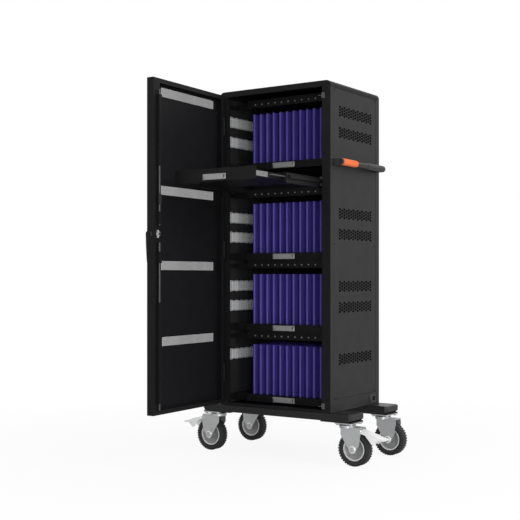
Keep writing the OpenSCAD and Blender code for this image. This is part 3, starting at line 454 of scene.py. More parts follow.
for node, side in (("left_cover", -1), ("right_cover", 1)):
    cells = [loop for loop in hole_loops(open_skin(node, 0, -side)) if len(loop) == 6]
    centres = [sum(loop, Vector()) / 6 for loop in cells]
    low, high = extent(cells[0])
    pitch = min(
        abs(c.z - centres[0].z) for c in centres[1:] if abs(c.y - centres[0].y) < 0.1 * MM
    )
    light_sheet, shade_sheet = bmesh.new(), bmesh.new()
    for loop, centre in zip(cells, centres):
        loop.sort(key=lambda p: math.atan2(p.z - centre.z, p.y - centre.y))
        outer, inner = (
            [light_sheet.verts.new(centre + (p - centre) * k) for p in loop]
            for k in (pitch / (high.z - low.z), HOLE_SHARE)
        )
        for i in range(-1, 5):
            light_sheet.faces.new((outer[i], outer[i + 1], inner[i + 1], inner[i]))
    bmesh.ops.remove_doubles(light_sheet, verts=light_sheet.verts, dist=0.05 * MM)
    bmesh.ops.translate(light_sheet, vec=(-side * LIGHT_SHEET_T, 0, 0), verts=second_skin(light_sheet))
    bmesh.ops.translate(light_sheet, vec=(-side * (SHADE_SHEET_T + 0.1 * MM), 0, 0), verts=light_sheet.verts)
    bmesh.ops.recalc_face_normals(light_sheet, faces=light_sheet.faces)
    fields = []
    for place in sorted((p for loop in cells for p in loop), key=lambda p: p.z):
        if not fields or place.z - fields[-1][-1].z > FIELD_GAP:
            fields.append([])
        fields[-1].append(place)
    for low, high in map(extent, fields):
        size = high - low + Vector((SHADE_SHEET_T, 2 * SHADE_SHEET_BORDER, 2 * SHADE_SHEET_BORDER))
        seat = (low + high) / 2 - Vector((side * (0.05 * MM + SHADE_SHEET_T / 2), 0, 0))
        stamp(shade_sheet, shape_of(bar(size, 0.1 * MM, 1)), Matrix.Translation(seat))
    # The near-white sheet paints the light on the ribs and the black sheet the shade in the holes.
    piece(light_sheet, f"{node}_vent_rib_light", node, PAINTED_RIB_LIGHT, replaces=False)
    piece(shade_sheet, f"{node}_vent_hole_shade", node, PAINTED_VENT_SHADE, replaces=False)
print("vent fields in each cover:", len(fields), "cells:", len(cells))

# %% [markdown]
# ## Louvres
#
# A louvre is pressed out of the sheet: the slot is cut and the metal over it is
# pushed into a hood that opens downwards, so that rain or a spill runs off. Each
# hood is a quarter of a stretched ball, given the thickness of thin sheet.

# %% Louvre hoods
HOOD_T, HOOD_OUT, HOOD_OVER, HOOD_END = 0.6 * MM, 2 * MM, 1.5 * MM, 12 * MM
HOOD_PAST_SLOT = 6 * MM
SLOT_MIN_L, SLOT_MAX_L = 60 * MM, 250 * MM


def hood_shape(length, height):
    ball = bmesh.new()
    bmesh.ops.create_uvsphere(ball, u_segments=32, v_segments=16, radius=1)
    for way in ((0, -1, 0), (0, 0, -1)):
        bmesh.ops.bisect_plane(
            ball, geom=ball.verts[:] + ball.edges[:] + ball.faces[:],
            plane_co=(0, 0, 0), plane_no=way, clear_outer=True,
        )
    reach = (HOOD_END, HOOD_OUT, height + HOOD_OVER)
    inner = second_skin(ball)
    bmesh.ops.scale(ball, vec=[1 - HOOD_T / r for r in reach], verts=inner)
    bmesh.ops.scale(ball, vec=reach, verts=ball.verts)
    for v in ball.verts:
        if abs(v.co.x) > 0.01 * MM:
            v.co.x += math.copysign(length / 2 + HOOD_PAST_SLOT - HOOD_END, v.co.x)
    bmesh.ops.recalc_face_normals(ball, faces=ball.faces)
    return shape_of(ball)


slots = [extent(loop) for loop in hole_loops(open_skin("back_cover", 1, 1))]
slots = [(low, high) for low, high in slots if SLOT_MIN_L < high.x - low.x < SLOT_MAX_L]
hood = hood_shape(slots[0][1].x - slots[0][0].x, slots[0][1].z - slots[0][0].z)
hoods = bmesh.new()
for low, high in slots:
    seat = ((low.x + high.x) / 2, low.y - 0.1 * MM, low.z)
    stamp(hoods, hood, Matrix.Translation(seat))
piece(hoods, "louvre_hoods", "back_cover", replaces=False, smooth=40)
print("louvres:", len(slots))

# %% [markdown]
# The solids leave a gap between the back cover's upper edge and the top panel.
# Here a fold of the top panel closes it: a flat plate with rounded corners.

# %% Rear fold of the top panel
FOLD_T, FOLD_H, FOLD_CORNER = 1.5 * MM, 30 * MM, 18 * MM
FOLD_INSET, FOLD_BEHIND, FOLD_DROP = 3 * MM, 3.8 * MM, 1.4 * MM
low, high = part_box("top_panel")
half_w = (high.x - low.x) / 2 - FOLD_INSET
fold = shape_of(stacked([(half_w, FOLD_H, FOLD_CORNER, z) for z in (0, FOLD_T)]))
bm = bmesh.new()
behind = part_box("back_cover")[0].y - FOLD_BEHIND
seat = Vector((0, behind, high.z - FOLD_DROP - FOLD_H))
stamp(bm, fold, Matrix.Translation(seat) @ TO_BACK)
piece(bm, "top_panel_rear_fold", "top_panel", replaces=False)

# %% [markdown]
# ## Beams
#
# The body stands on two steel tubes that reach out past its sides. Each end is
# shut by a plug whose outer face is smaller and set high, so the top edge
# slopes. The tube is a block with rounded long edges, and the plug the same
# block with its outer end drawn in before its rim is rounded.

# %% Beams, plugs and pads
PLUG_L, PLUG_CHAMFER, TUBE_R, PAD_T, PAD_L = 10 * MM, 9 * MM, 4 * MM, 4 * MM, 128 * MM


def along_x(bm):
    """The four edges of a block that run along X."""
    return [e for e in bm.edges if abs(e.verts[0].co.x - e.verts[1].co.x) > MM]


for node in ("front_beam", "rear_beam"):
    low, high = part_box(node)
    length, depth = high.x - low.x, high.y - low.y
    height = high.z - low.z - PAD_T
    bm = bmesh.new()
    tube = bmesh.new()
    bmesh.ops.create_cube(
        tube, size=1, matrix=Matrix.Diagonal((length - 2 * PLUG_L, depth, height, 1))
    )
    round_edges(tube, TUBE_R, 5, along_x(tube))
    stamp(bm, shape_of(tube), Matrix.Identity(4))
    plug = bmesh.new()
    bmesh.ops.create_cube(plug, size=1, matrix=Matrix.Diagonal((PLUG_L, depth, height, 1)))
    outer = [v for v in plug.verts if v.co.x > 0]
    bmesh.ops.scale(
        plug, vec=(1, 1 - PLUG_CHAMFER / depth, 1 - PLUG_CHAMFER / height), verts=outer
    )
    bmesh.ops.translate(plug, vec=(0, 0, PLUG_CHAMFER / 4), verts=outer)
    round_edges(plug, TUBE_R, 5, along_x(plug))
    end = [e for e in plug.edges if all(v.co.x > PLUG_L / 2 - 0.1 * MM for v in e.verts)]
    round_edges(plug, 2 * MM, 3, end)
    plug = shape_of(plug)
    pad = shape_of(bar((PAD_L - 2 * MM, depth - 2 * TUBE_R, PAD_T), 0.6 * MM))
    for turn in (0, math.pi):
        about = Matrix.Rotation(turn, 4, "Z")
        stamp(bm, plug, about @ Matrix.Translation(((length - PLUG_L) / 2 + 0.15 * MM, 0, 0)))
        stamp(bm, pad, about @ Matrix.Translation(
            ((length - PAD_L) / 2 - 1 * MM, 0, -(height + PAD_T) / 2)
        ))
    seat = Vector(((low.x + high.x) / 2, (low.y + high.y) / 2, high.z - height / 2))
    bmesh.ops.transform(bm, matrix=Matrix.Translation(seat), verts=bm.verts)
    piece(bm, f"{node}_with_plugs", node, smooth=30)

# %% [markdown]
# ## Dividers
#
# Eleven moulded panels stand on each shelf. A moulding has a fully rounded
# front edge and a generous round along the top, so that a computer slides in
# without catching. A block with two sizes of bevel gives both.

# %% Indigo dividers
DIVIDER_FRONT_ROUND = 4.4 * MM
DIVIDER_TOP_ROUND = 2.2 * MM


def divider(size):
    bm = bmesh.new()
    bmesh.ops.create_cube(bm, size=1, matrix=Matrix.Diagonal((*size, 1)))
    upright = [e for e in bm.edges if abs(e.verts[0].co.z - e.verts[1].co.z) > MM]
    round_edges(bm, DIVIDER_FRONT_ROUND, 5, upright)
    top = max(v.co.z for v in bm.verts)
    rim = [e for e in bm.edges if all(v.co.z > top - 0.01 * MM for v in e.verts)]
    round_edges(bm, DIVIDER_TOP_ROUND, 3, rim)
    return bm


for shelf in SHELVES:
    node = f"shelf_{shelf}_dividers"
    boxes = solids_of(node)
    shape = shape_of(divider(boxes[0][1] - boxes[0][0]))
    bm = bmesh.new()
    for box in boxes:
        stamp(bm, shape, Matrix.Translation(middle(box)))
    piece(bm, f"shelf_{shelf}_divider_set", node, smooth=40)
print("dividers on each shelf:", len(boxes))

# %% [markdown]
# ## Recessed pulls
#
# The shelves and the tray are drawn out by a grey plate with a finger recess.
# It is made as a stack of rounded rectangles bridged in turn, which gives the
# plate, its rim and the recess one closed skin. The right-hand end then slopes
# back, and that slope is the pale strip that shows at the end of each pull.

# %% Pulls
PULL_CORNER = 2 * MM
PULL_SLOPE_L = 7 * MM


def pull_shape(width, height, thick):
    """A pull whose face looks towards +Z, with its back at zero."""
    w, h, c = width / 2, height / 2, PULL_CORNER
    steps = ((0, 0), (0, thick - 0.5 * MM), (0.15 * MM, thick - 0.15 * MM), (0.5 * MM, thick))
    outside = [(w - inset, h - inset, c - inset, z) for inset, z in steps]
    dips = ((3.2, 0), (3.5, 0.12), (3.8, 0.4), (4.6, 1.3), (5, 1.55), (5.6, 1.6))
    inside = [
        (w - inset * MM - 2.5 * MM, h - inset * MM, 1.2 * MM, thick - dip * MM, -2.5 * MM)
        for inset, dip in dips
    ]
    bm = stacked(outside + inside)
    for v in bm.verts:
        over = v.co.x - (w - PULL_SLOPE_L)
        if over > 0 and v.co.z > thick / 2:
            v.co.z -= over * 0.3
    return shape_of(bm)


for node in [f"shelf_{shelf}_pull" for shelf in SHELVES] + ["tray_pull"]:
    low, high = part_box(node)
    size = high - low
    bm = bmesh.new()
    back = Vector((low.x + size.x / 2, high.y, low.z + size.z / 2))
    stamp(bm, pull_shape(size.x, size.z, size.y), Matrix.Translation(back) @ TO_FRONT)
    piece(bm, f"{node}_recessed", node, smooth=40)
print("pull:", [round(c / MM, 1) for c in size], "mm")

# %% [markdown]
# A grey plate with three small holes covers the front end of each tray runner. The holes are thin near-black
# discs, painted shade.

# %% Runner plates
RUNNER_PLATE_L, RUNNER_PLATE_T, HOLE_R = 69 * MM, 0.8 * MM, 1.3 * MM
low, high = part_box("tray_runners")
levels = sorted({round(abs(v.co.x), 4) for v in cad_nodes["tray_runners"].data.vertices})
half_l, half_h = RUNNER_PLATE_L / 2, (high.z - low.z) / 2 - 1.5 * MM
plate = shape_of(stacked([
    (half_h, half_l, 1.5 * MM, -0.1 * MM),
    (half_h, half_l, 1.5 * MM, RUNNER_PLATE_T - 0.2 * MM),
    (half_h - 0.2 * MM, half_l - 0.2 * MM, 1.3 * MM, RUNNER_PLATE_T),
]))
# Each hole is a thin near-black disc on the plate, painting the shade in the hole.
hole = shape_of(lathe([(0, 0), (HOLE_R, 0), (HOLE_R, 0.05 * MM), (0, 0.05 * MM)], 16))
plates, holes = bmesh.new(), bmesh.new()
for side, turn in ((-1, TO_LEFT), (1, TO_RIGHT)):
    seat = Vector((side * levels[1], low.y + half_l + 1.5 * MM, (low.z + high.z) / 2))
    stamp(plates, plate, Matrix.Translation(seat) @ turn)
    seat.x += side * RUNNER_PLATE_T
    for step in (0, 6, 12):
        at = seat + Vector((0, step * MM, 0))
        stamp(holes, hole, Matrix.Translation(at) @ turn)
piece(plates, "runner_plates", "tray_runners", PLATE_GREY, replaces=False)
piece(holes, "runner_plate_hole_shade", "tray_runners", PAINTED_SHADE_BLACK, replaces=False)

# %% [markdown]
# ## Charge lights
#
# Each header shows ten small windows, one for each slot. A window is a turned
# bezel with a domed lens a little below its rim.

# %% Charge lights
lights = solids_of("charge_lights")
radius = (lights[0][1].z - lights[0][0].z) / 2
rise = 0.8 * MM
lens = shape_of(lathe([
    (0, -1.6 * MM), (radius * 0.74, -1.6 * MM), (radius * 0.74, 0), (radius, 0),
    (radius, rise * 0.6), (radius * 0.9, rise), (radius * 0.76, rise),
    (radius * 0.7, rise * 0.55), (radius * 0.4, rise * 0.85), (0, rise * 0.97),
], 16))
bm = bmesh.new()
for low, high in lights:
    seat = Vector(((low.x + high.x) / 2, low.y + rise, (low.z + high.z) / 2))
    stamp(bm, lens, Matrix.Translation(seat) @ TO_FRONT)
piece(bm, "charge_light_windows", "charge_lights", smooth=45)
print("charge lights:", len(lights))

# %% [markdown]
# ## Cover screws
#
# Button head screws with a hexagon socket hold the covers. The head is turned
# first; then the ring of points at the socket's wall moves out or in to the
# sides of a hexagon, which is simpler than cutting one out.

# %% Cover screws
SOCKET_R = 2.3 * MM


def button_head(head_r, head_h):
    bm = lathe([
        (0, 0), (head_r, 0), (head_r, 0.3 * head_h), (0.87 * head_r, 0.75 * head_h),
        (0.65 * head_r, head_h), (SOCKET_R * 1.04, head_h), (SOCKET_R, 0.93 * head_h),
        (SOCKET_R, 0.35 * head_h), (0, 0.3 * head_h),
    ], 24)
    for v in bm.verts:
        reach = math.hypot(v.co.x, v.co.y)
        if abs(reach - SOCKET_R) < 0.01 * MM:
            turn = math.atan2(v.co.y, v.co.x) % (math.pi / 3) - math.pi / 6
            k = math.cos(math.pi / 6) / math.cos(turn)
            v.co.x, v.co.y = v.co.x * k, v.co.y * k
    return shape_of(bm)


bm = bmesh.new()
screws = solids_of("cover_screws")
for low, high in screws:
    size, at = high - low, (low + high) / 2
    if size.x < size.y:
        side = 1 if at.x > 0 else -1
        turn = TO_RIGHT if side > 0 else TO_LEFT
        seat = Vector(((high.x if side > 0 else low.x) - side * 2 * MM, at.y, at.z))
    else:
        turn = TO_BACK
        seat = Vector((at.x, high.y - 2 * MM, at.z))
    stamp(bm, button_head(max(size) / 2, 2 * MM), Matrix.Translation(seat) @ turn)
piece(bm, "cover_screw_heads", "cover_screws", smooth=30)
print("cover screws:", len(screws))

# %% [markdown]
# ## Casters
#
# The wheels are the most modelled parts of the base. On the real one a grey
# moulded rim with a dished face carries a rubber tyre with chunky shoulder
# lugs. The rim and the carcass are turned, and each lug is a small block set
# round the edge, staggered from one side to the other.

# %% Tyres and rims
LUGS = 38
GROOVE = 1.7 * MM
HUB_R = 14 * MM
BORE_R = 6.2 * MM
RIM_HALF_W, TYRE_HALF_W = 13.5 * MM, 17.5 * MM
RIM_SHARE = 0.688
LIP_PROUD = 0.25 * MM
LUG_SINK, LUG_TILT = 3.7 * MM, 0.16


def rim_shape(rim_r, half_w, half_hub):
    web = 0.28 * half_w
    side = [
        (rim_r, half_w * 0.55), (rim_r, half_w * 0.93), (rim_r - 0.9 * MM, half_w),
        (rim_r - 3.4 * MM, half_w), (rim_r - 4.2 * MM, half_w * 0.92),
    ]
    bowl_r = rim_r - 4.6 * MM - HUB_R
    side += [
        (HUB_R + k * bowl_r, web + (half_w * 0.8 - web) * k ** 2.2)
        for k in (1, 0.9, 0.8, 0.7, 0.6, 0.5, 0.4, 0.3, 0.2, 0.12)
    ]
    side += [
        (HUB_R + 1.2 * MM, web * 1.15), (HUB_R, half_w * 0.5),
        (HUB_R - 0.4 * MM, half_hub - 0.8 * MM), (HUB_R - 1.2 * MM, half_hub),
        (BORE_R + 1 * MM, half_hub), (BORE_R, half_hub - 0.8 * MM),
    ]
    mirrored = [(r, -z) for r, z in reversed(side)]
    return shape_of(lathe(side + mirrored + side[:1], 72))


def lip_shape(rim_r, half_w):
    """The raised lips on both sides of a rim, in a lighter grey that paints a highlight on them."""
    lips = bmesh.new()
    for side in (1, -1):
        stamp(lips, shape_of(lathe([(r, side * z) for r, z in (
            (rim_r - 5.8 * MM, half_w * 0.7), (rim_r - 4.6 * MM, half_w * 0.9),
            (rim_r - 3.6 * MM, half_w + LIP_PROUD), (rim_r - 0.8 * MM, half_w + LIP_PROUD),
            (rim_r - 0.1 * MM, half_w * 0.95), (rim_r - 1 * MM, half_w * 0.6),
            (rim_r - 5.8 * MM, half_w * 0.7),
        )], 72)), Matrix.Identity(4))
    bmesh.ops.recalc_face_normals(lips, faces=lips.faces)
    return shape_of(lips)


def tyre_shape(rim_r, tyre_r, half_t):
    base = tyre_r - GROOVE
    side = [
        (base, 0), (base, half_t * 0.55), (base - 1.6 * MM, half_t * 0.82),
        (base - 4.2 * MM, half_t * 0.96), (base - 6.5 * MM, half_t),
        (rim_r + 5 * MM, half_t * 0.98), (rim_r + 2.2 * MM, half_t * 0.88),
        (rim_r - 0.2 * MM, half_t * 0.72),
    ]
    mirrored = [(r, -z) for r, z in reversed(side)]
    bm = lathe(side + mirrored, 96)
    pitch = 2 * math.pi / LUGS
    lug = shape_of(bar((5 * MM, tyre_r * pitch * 0.66, half_t * 0.86), 0.9 * MM, 2))
    for edge in (-1, 1):
        for i in range(LUGS):
            turn = Matrix.Rotation(pitch * (i + (0.5 if edge > 0 else 0)), 4, "Z")
            seat = Matrix.Translation((tyre_r - LUG_SINK, 0, edge * half_t * 0.5))
            stamp(bm, lug, turn @ seat @ Matrix.Rotation(edge * LUG_TILT, 4, "Y"))
    return shape_of(bm)


for corner in CORNERS:
    node = f"wheel_{corner}"
    low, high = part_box(node)
    tyre_r = (high.z - low.z) / 2
    rim_r = RIM_SHARE * tyre_r
    half_hub = (high.y - low.y) / 2
    seat = Matrix.Translation(middle((low, high))) @ TO_BACK
    # The bowl takes the darker grey, painted shade, and the lips the lighter grey, a painted highlight.
    for name, shape, material in (
        ("rim", rim_shape(rim_r, RIM_HALF_W, half_hub), RIM_PAINTED_SHADE_GREY),
        ("rim_lip_painted_highlight", lip_shape(rim_r, RIM_HALF_W), RIM_PAINTED_HIGHLIGHT_GREY),
        ("tyre", tyre_shape(rim_r, tyre_r, TYRE_HALF_W), FINISHES["tyre"]),
    ):
        bm = bmesh.new()
        stamp(bm, shape, seat)
        piece(bm, f"{name}_{corner}", node, material, smooth=32)
print("lugs on a tyre:", 2 * LUGS)

# %% [markdown]
# A swivel runs on two rows of balls, and a near-black ring paints the shade in
# the gap of its race. The axle bolt bears on a bright washer. Both are turned.

# %% Painted shade in the swivel races, and axle washers
RACE_R, RACE_LOW, RACE_TOP = 27 * MM, 147.4 * MM, 152.8 * MM
WASHER_R, WASHER_T, HEAD_H = 13 * MM, 1.4 * MM, 6 * MM
race_gap_shade = shape_of(lathe([
    (RACE_R - 0.5 * MM, 0), (RACE_R + 1.2 * MM, 0), (RACE_R + 1.8 * MM, 0.8 * MM),
    (RACE_R + 1.8 * MM, RACE_TOP - RACE_LOW - 0.8 * MM), (RACE_R + 1.2 * MM, RACE_TOP - RACE_LOW),
    (RACE_R - 0.5 * MM, RACE_TOP - RACE_LOW), (RACE_R - 0.5 * MM, 0),
], 64))
washer = shape_of(lathe([
    (0, 0), (WASHER_R, 0), (WASHER_R, WASHER_T - 0.4 * MM),
    (WASHER_R - 0.5 * MM, WASHER_T), (0, WASHER_T),
], 40))
low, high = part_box("fork_rear_left")
LEG_FACE = (high.y - low.y) / 2 - HEAD_H
for corner in CORNERS:
    at = Vector(joint_of[f"swivel_{corner}"]["pos_m"])
    bm = bmesh.new()
    stamp(bm, race_gap_shade, Matrix.Translation((at.x, at.y, RACE_LOW)))
    piece(bm, f"swivel_gap_shade_{corner}", "caster_plates", PAINTED_SHADE_BLACK, replaces=False, smooth=35)
    hub = middle(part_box(f"wheel_{corner}"))
    bm = bmesh.new()
    for turn in (TO_FRONT, TO_BACK):
        out = turn.to_3x3() @ Vector((0, 0, LEG_FACE))
        stamp(bm, washer, Matrix.Translation(hub + out) @ turn)
    piece(bm, f"axle_washers_{corner}", f"fork_{corner}", PEDAL_ZINC, replaces=False, smooth=35)

# %% [markdown]
# ## Push handle
#
# The handle is one moulding: two flat arms, a round bar between them and a
# fuller grip at the rear with a rounded end. An orange sleeve is pushed on at
# the front. The bar is turned in one profile and the arms are extruded outlines.

# %% Push handle and its sleeve
low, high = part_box("push_handle")
BAR_R, GRIP_R, GRIP_L, TAPER_L = 10 * MM, 12.5 * MM, 130 * MM, 14 * MM
length = high.y - low.y
axis_x, axis_z = high.x - GRIP_R, (low.z + high.z) / 2
grip_at = length - GRIP_L
bm = lathe([
    (0, 0), (BAR_R - 1.5 * MM, 0), (BAR_R, 1.5 * MM), (BAR_R, grip_at - TAPER_L),
    (BAR_R + 0.8 * MM, grip_at - 0.6 * TAPER_L), (GRIP_R - 0.3 * MM, grip_at - 0.15 * TAPER_L),
    (GRIP_R, grip_at + 2 * MM), (GRIP_R, length - 7 * MM), (GRIP_R - 1 * MM, length - 3.2 * MM),
    (GRIP_R - 3.2 * MM, length - 0.9 * MM), (GRIP_R - 6 * MM, length), (0, length),
], 40)
bmesh.ops.transform(
    bm, matrix=Matrix.Translation((axis_x, low.y, axis_z)) @ TO_BACK, verts=bm.verts
)
ARM_W, ARM_H = 11 * MM, 24 * MM


def arm_shape(reach):
    """An arm in the XZ plane from the side panel out to the bar."""
    arm = bmesh.new()
    bmesh.ops.create_circle(arm, cap_ends=True, segments=48, radius=ARM_H / 2)
    for v in arm.verts:
        if v.co.x < 0:
            v.co.x, v.co.y = -reach, math.copysign(ARM_H / 2, v.co.y)
    bmesh.ops.remove_doubles(arm, verts=arm.verts, dist=0.01 * MM)
    bmesh.ops.translate(arm, vec=(0, 0, ARM_W), verts=second_skin(arm))
    bmesh.ops.recalc_face_normals(arm, faces=arm.faces)
    round_edges(arm, 1.8 * MM, 3, sharper=60)
    return shape_of(arm)


arm = arm_shape(axis_x - low.x)
for y in (low.y + ARM_W, high.y):
    stamp(bm, arm, Matrix.Translation((axis_x, y, axis_z)) @ TO_FRONT)
piece(bm, "push_handle_moulding", "push_handle", smooth=30)

low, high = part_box("handle_sleeve")
length, outer = high.y - low.y, (high.z - low.z) / 2
bore = BAR_R + 0.06 * MM
bm = lathe([
    (bore, 0), (outer - 0.9 * MM, 0), (outer, 0.9 * MM), (outer, length - 13 * MM),
    (outer - 0.3 * MM, length - 8 * MM), (outer - 1.1 * MM, length - 3 * MM),
    (bore + 0.4 * MM, length), (bore, length), (bore, 0),
], 48)
seat = Vector(((low.x + high.x) / 2, low.y, (low.z + high.z) / 2))
bmesh.ops.transform(bm, matrix=Matrix.Translation(seat) @ TO_BACK, verts=bm.verts)
piece(bm, "orange_sleeve", "handle_sleeve", smooth=35)

# %% [markdown]
# ## Lever and key plug
#
# The door is closed by a lever on its outer face, beside a key plug. A lever is
# a block that tapers towards its tip and is rounded all over. The lock is drawn
# closed and swung open with the door, so one matrix places every part of it.

# %% Lever and key plug
DOOR_OPEN = math.radians(87.5)
pivot = Matrix.Translation(joint_of["door_hinge"]["pos_m"])
SWUNG = pivot @ Matrix.Rotation(-DOOR_OPEN, 4, "Z") @ pivot.inverted()


def closed_box(node):
    """A door node's box, measured with the door swung shut."""
    back = SWUNG.inverted()
    return extent([back @ v.co for v in cad_nodes[node].data.vertices])


LEVER_W, LEVER_L, LEVER_T, HUB_H = 22 * MM, 104 * MM, 12 * MM, 12 * MM
LEVER_TAPER, LEVER_THINNING = 0.22, 0.3
spindle = SWUNG.inverted() @ Vector(joint_of["latch_turn"]["pos_m"])
low, high = closed_box("latch_handle")
bm = bmesh.new()
bmesh.ops.create_cube(bm, size=1, matrix=Matrix.Diagonal((LEVER_W, LEVER_T, LEVER_L, 1)))
long_edges = [e for e in bm.edges if abs(e.verts[0].co.z - e.verts[1].co.z) > MM]
bmesh.ops.subdivide_edges(bm, edges=long_edges, cuts=8)
for v in bm.verts:
    tip = 0.5 - v.co.z / LEVER_L
    v.co.x *= 1 - LEVER_TAPER * tip
    v.co.y = LEVER_T / 2 + (v.co.y - LEVER_T / 2) * (1 - LEVER_THINNING * tip ** 2)
round_edges(bm, 3.2 * MM, 4, sharper=60)
bmesh.ops.translate(bm, vec=(0, 0, -LEVER_L / 2 + 2 * MM), verts=bm.verts)
hub = shape_of(lathe([
    (0, 0), (13 * MM, 0), (13 * MM, HUB_H * 0.6), (11.8 * MM, HUB_H * 0.85),
    (9 * MM, HUB_H), (0, HUB_H),
], 40))
stamp(bm, hub, Matrix.Translation((0, LEVER_T / 2, 0)) @ TO_FRONT)
pin = shape_of(lathe([
    (0, 0), (5 * MM, 0), (5 * MM, high.y - low.y - 1 * MM), (4.4 * MM, high.y - low.y),
    (0, high.y - low.y),
], 32))
stamp(bm, pin, Matrix.Translation((0, -LEVER_T / 2, 0)) @ TO_BACK)
seat = Vector((spindle.x, low.y + LEVER_T / 2, spindle.z))
bmesh.ops.transform(bm, matrix=SWUNG @ Matrix.Translation(seat), verts=bm.verts)
piece(bm, "door_lever", "latch_handle", smooth=30)

low, high = closed_box("key_plug")
plug_r, plug_l = (high.x - low.x) / 2, high.y - low.y
bm = lathe([
    (0, 0), (plug_r - 0.3 * MM, 0), (plug_r, 0.3 * MM), (plug_r, plug_l - 0.5 * MM),
    (plug_r - 0.5 * MM, plug_l), (plug_r - 1.2 * MM, plug_l),
    (plug_r - 1.4 * MM, plug_l - 0.25 * MM), (0, plug_l - 0.25 * MM),
], 32)
key_seat = Vector(((low.x + high.x) / 2, high.y, (low.z + high.z) / 2))
bmesh.ops.transform(
    bm, matrix=SWUNG @ Matrix.Translation(key_seat) @ TO_FRONT, verts=bm.verts
)
piece(bm, "key_plug_turned", "key_plug", smooth=35)
# The keyway is a thin near-black bar on the plug's face, painting the shade in the slot.
bm = bar((1.1 * MM, 0.5 * MM, 6.4 * MM), 0.15 * MM, 1)
slot_seat = Vector((key_seat.x, low.y + 0.25 * MM, key_seat.z))
bmesh.ops.transform(bm, matrix=SWUNG @ Matrix.Translation(slot_seat), verts=bm.verts)
piece(bm, "keyway_shade", "key_plug", PAINTED_SHADE_BLACK, replaces=False)

# %% [markdown]
# ## Every solid that shows keeps a finish
#
# The covers, grilles and small fittings keep their own mesh, so here they take
# the finish that their slot names.

# %% Finishes on the solids that stay
for node, thing in cad_nodes.items():
    thing.data.materials.clear()
    thing.data.materials.append(FINISHES[slot_of[node]])
shown = sorted(n for n, thing in cad_nodes.items() if not thing.hide_render)
print("solids shown as they are:", shown)

# %% [markdown]
# ## Floor, light and camera
#
# The cabinet stands in a white studio. The world is white where the camera or
# a reflection looks at it and softer as a light. The floor is pale and keeps
# the cabinet's shadow. A large soft lamp on the right lights the right-hand side,
# a smaller one fills the front, and a dim one stands over the top.

# %% Studio
FLOOR_SIZE = 60
bm = bmesh.new()
bmesh.ops.create_grid(bm, x_segments=1, y_segments=1, size=FLOOR_SIZE / 2)
floor_mesh = shape_of(bm)
floor_mesh.name = "floor"
floor = bpy.data.objects.new("floor", floor_mesh)
bpy.context.scene.collection.objects.link(floor)
pale = bpy.data.materials.new("pale floor")
pale.use_nodes = True
tree = pale.node_tree
tree.nodes["Principled BSDF"].inputs["Base Color"].default_value = (0.86, 0.86, 0.86, 1)
tree.nodes["Principled BSDF"].inputs["Roughness"].default_value = 0.9
tree.nodes["Principled BSDF"].inputs["Specular IOR Level"].default_value = 0.0
glow = tree.nodes.new("ShaderNodeEmission")
glow.inputs["Color"].default_value = (1, 1, 1, 1)
rays = tree.nodes.new("ShaderNodeLightPath")
far = tree.nodes.new("ShaderNodeVectorMath")
far.operation = "LENGTH"
link(tree, tree.nodes.new("ShaderNodeTexCoord").outputs["Object"], far.inputs[0])
whiten = tree.nodes.new("ShaderNodeMapRange")
whiten.inputs["From Min"].default_value = 0.5
whiten.inputs["From Max"].default_value = 2.0
whiten.inputs["To Min"].default_value = 0.9
whiten.inputs["To Max"].default_value = 1.0
link(tree, far.outputs["Value"], whiten.inputs["Value"])
share = tree.nodes.new("ShaderNodeMath")
share.operation = "MULTIPLY"
link(tree, rays.outputs["Is Camera Ray"], share.inputs[0])
link(tree, whiten.outputs["Result"], share.inputs[1])
mixed = tree.nodes.new("ShaderNodeMixShader")
link(tree, share.outputs[0], mixed.inputs[0])
link(tree, tree.nodes["Principled BSDF"].outputs[0], mixed.inputs[1])
link(tree, glow.outputs[0], mixed.inputs[2])
link(tree, mixed.outputs[0], tree.nodes["Material Output"].inputs["Surface"])
floor_mesh.materials.append(pale)

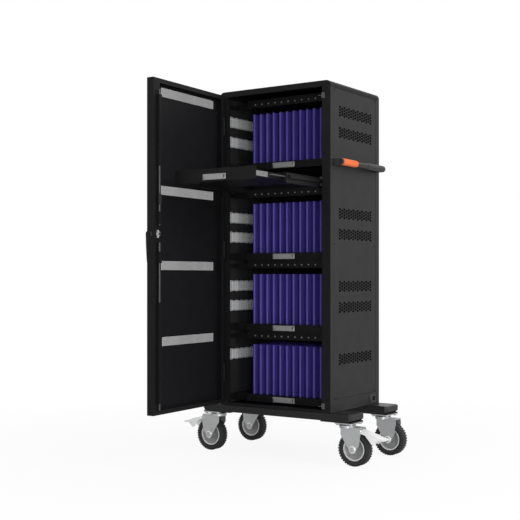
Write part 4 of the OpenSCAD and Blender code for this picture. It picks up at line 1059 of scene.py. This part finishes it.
world = bpy.data.worlds.new("white studio")
bpy.context.scene.world = world
world.use_nodes = True
tree = world.node_tree
soft = tree.nodes["Background"]
soft.inputs["Color"].default_value = (1, 1, 1, 1)
soft.inputs["Strength"].default_value = 0.45
white = tree.nodes.new("ShaderNodeBackground")
white.inputs["Color"].default_value = (1, 1, 1, 1)
white.inputs["Strength"].default_value = 1.0
rays = tree.nodes.new("ShaderNodeLightPath")
seen = tree.nodes.new("ShaderNodeMath")
seen.operation = "MAXIMUM"
link(tree, rays.outputs["Is Camera Ray"], seen.inputs[0])
link(tree, rays.outputs["Is Glossy Ray"], seen.inputs[1])
seen_through = tree.nodes.new("ShaderNodeMath")
seen_through.operation = "MAXIMUM"
link(tree, seen.outputs[0], seen_through.inputs[0])
link(tree, rays.outputs["Is Transmission Ray"], seen_through.inputs[1])
mixed = tree.nodes.new("ShaderNodeMixShader")
link(tree, seen_through.outputs[0], mixed.inputs[0])
link(tree, soft.outputs[0], mixed.inputs[1])
link(tree, white.outputs[0], mixed.inputs[2])
link(tree, mixed.outputs[0], tree.nodes["World Output"].inputs["Surface"])

AIM = Vector((0, 0, 0.75))


def lamp(name, place, size, watts):
    light = bpy.data.lights.new(name, "AREA")
    light.shape = "RECTANGLE"
    light.size, light.size_y = size
    light.energy = watts
    thing = bpy.data.objects.new(name, light)
    thing.location = place
    thing.rotation_euler = (AIM - Vector(place)).to_track_quat("-Z", "Y").to_euler()
    bpy.context.scene.collection.objects.link(thing)


lamp("key", (3.2, -0.6, 1.9), (2.0, 2.4), 75)
lamp("fill", (2.7, -3.7, 0.8), (1.6, 1.1), 78)
lamp("top", (0.4, 0.2, 3.6), (2.4, 2.4), 30)

# %% Camera
IMAGE_W = 520
FOCAL_PX = 1019.9
HORIZON_Y = 276.24
SENSOR = 36
CAMERA_AT = Vector((2.0829, -3.3767, 0.6833))
CAMERA_YAW = math.radians(33.918)
lens_data = bpy.data.cameras.new("camera")
lens_data.sensor_width = SENSOR
lens_data.lens = FOCAL_PX * SENSOR / IMAGE_W
lens_data.shift_y = (HORIZON_Y - IMAGE_W / 2) / IMAGE_W
camera = bpy.data.objects.new("camera", lens_data)
camera.location = CAMERA_AT
camera.rotation_euler = (math.pi / 2, 0, CAMERA_YAW)
bpy.context.scene.collection.objects.link(camera)
bpy.context.scene.camera = camera
bpy.context.scene.view_settings.view_transform = "Standard"
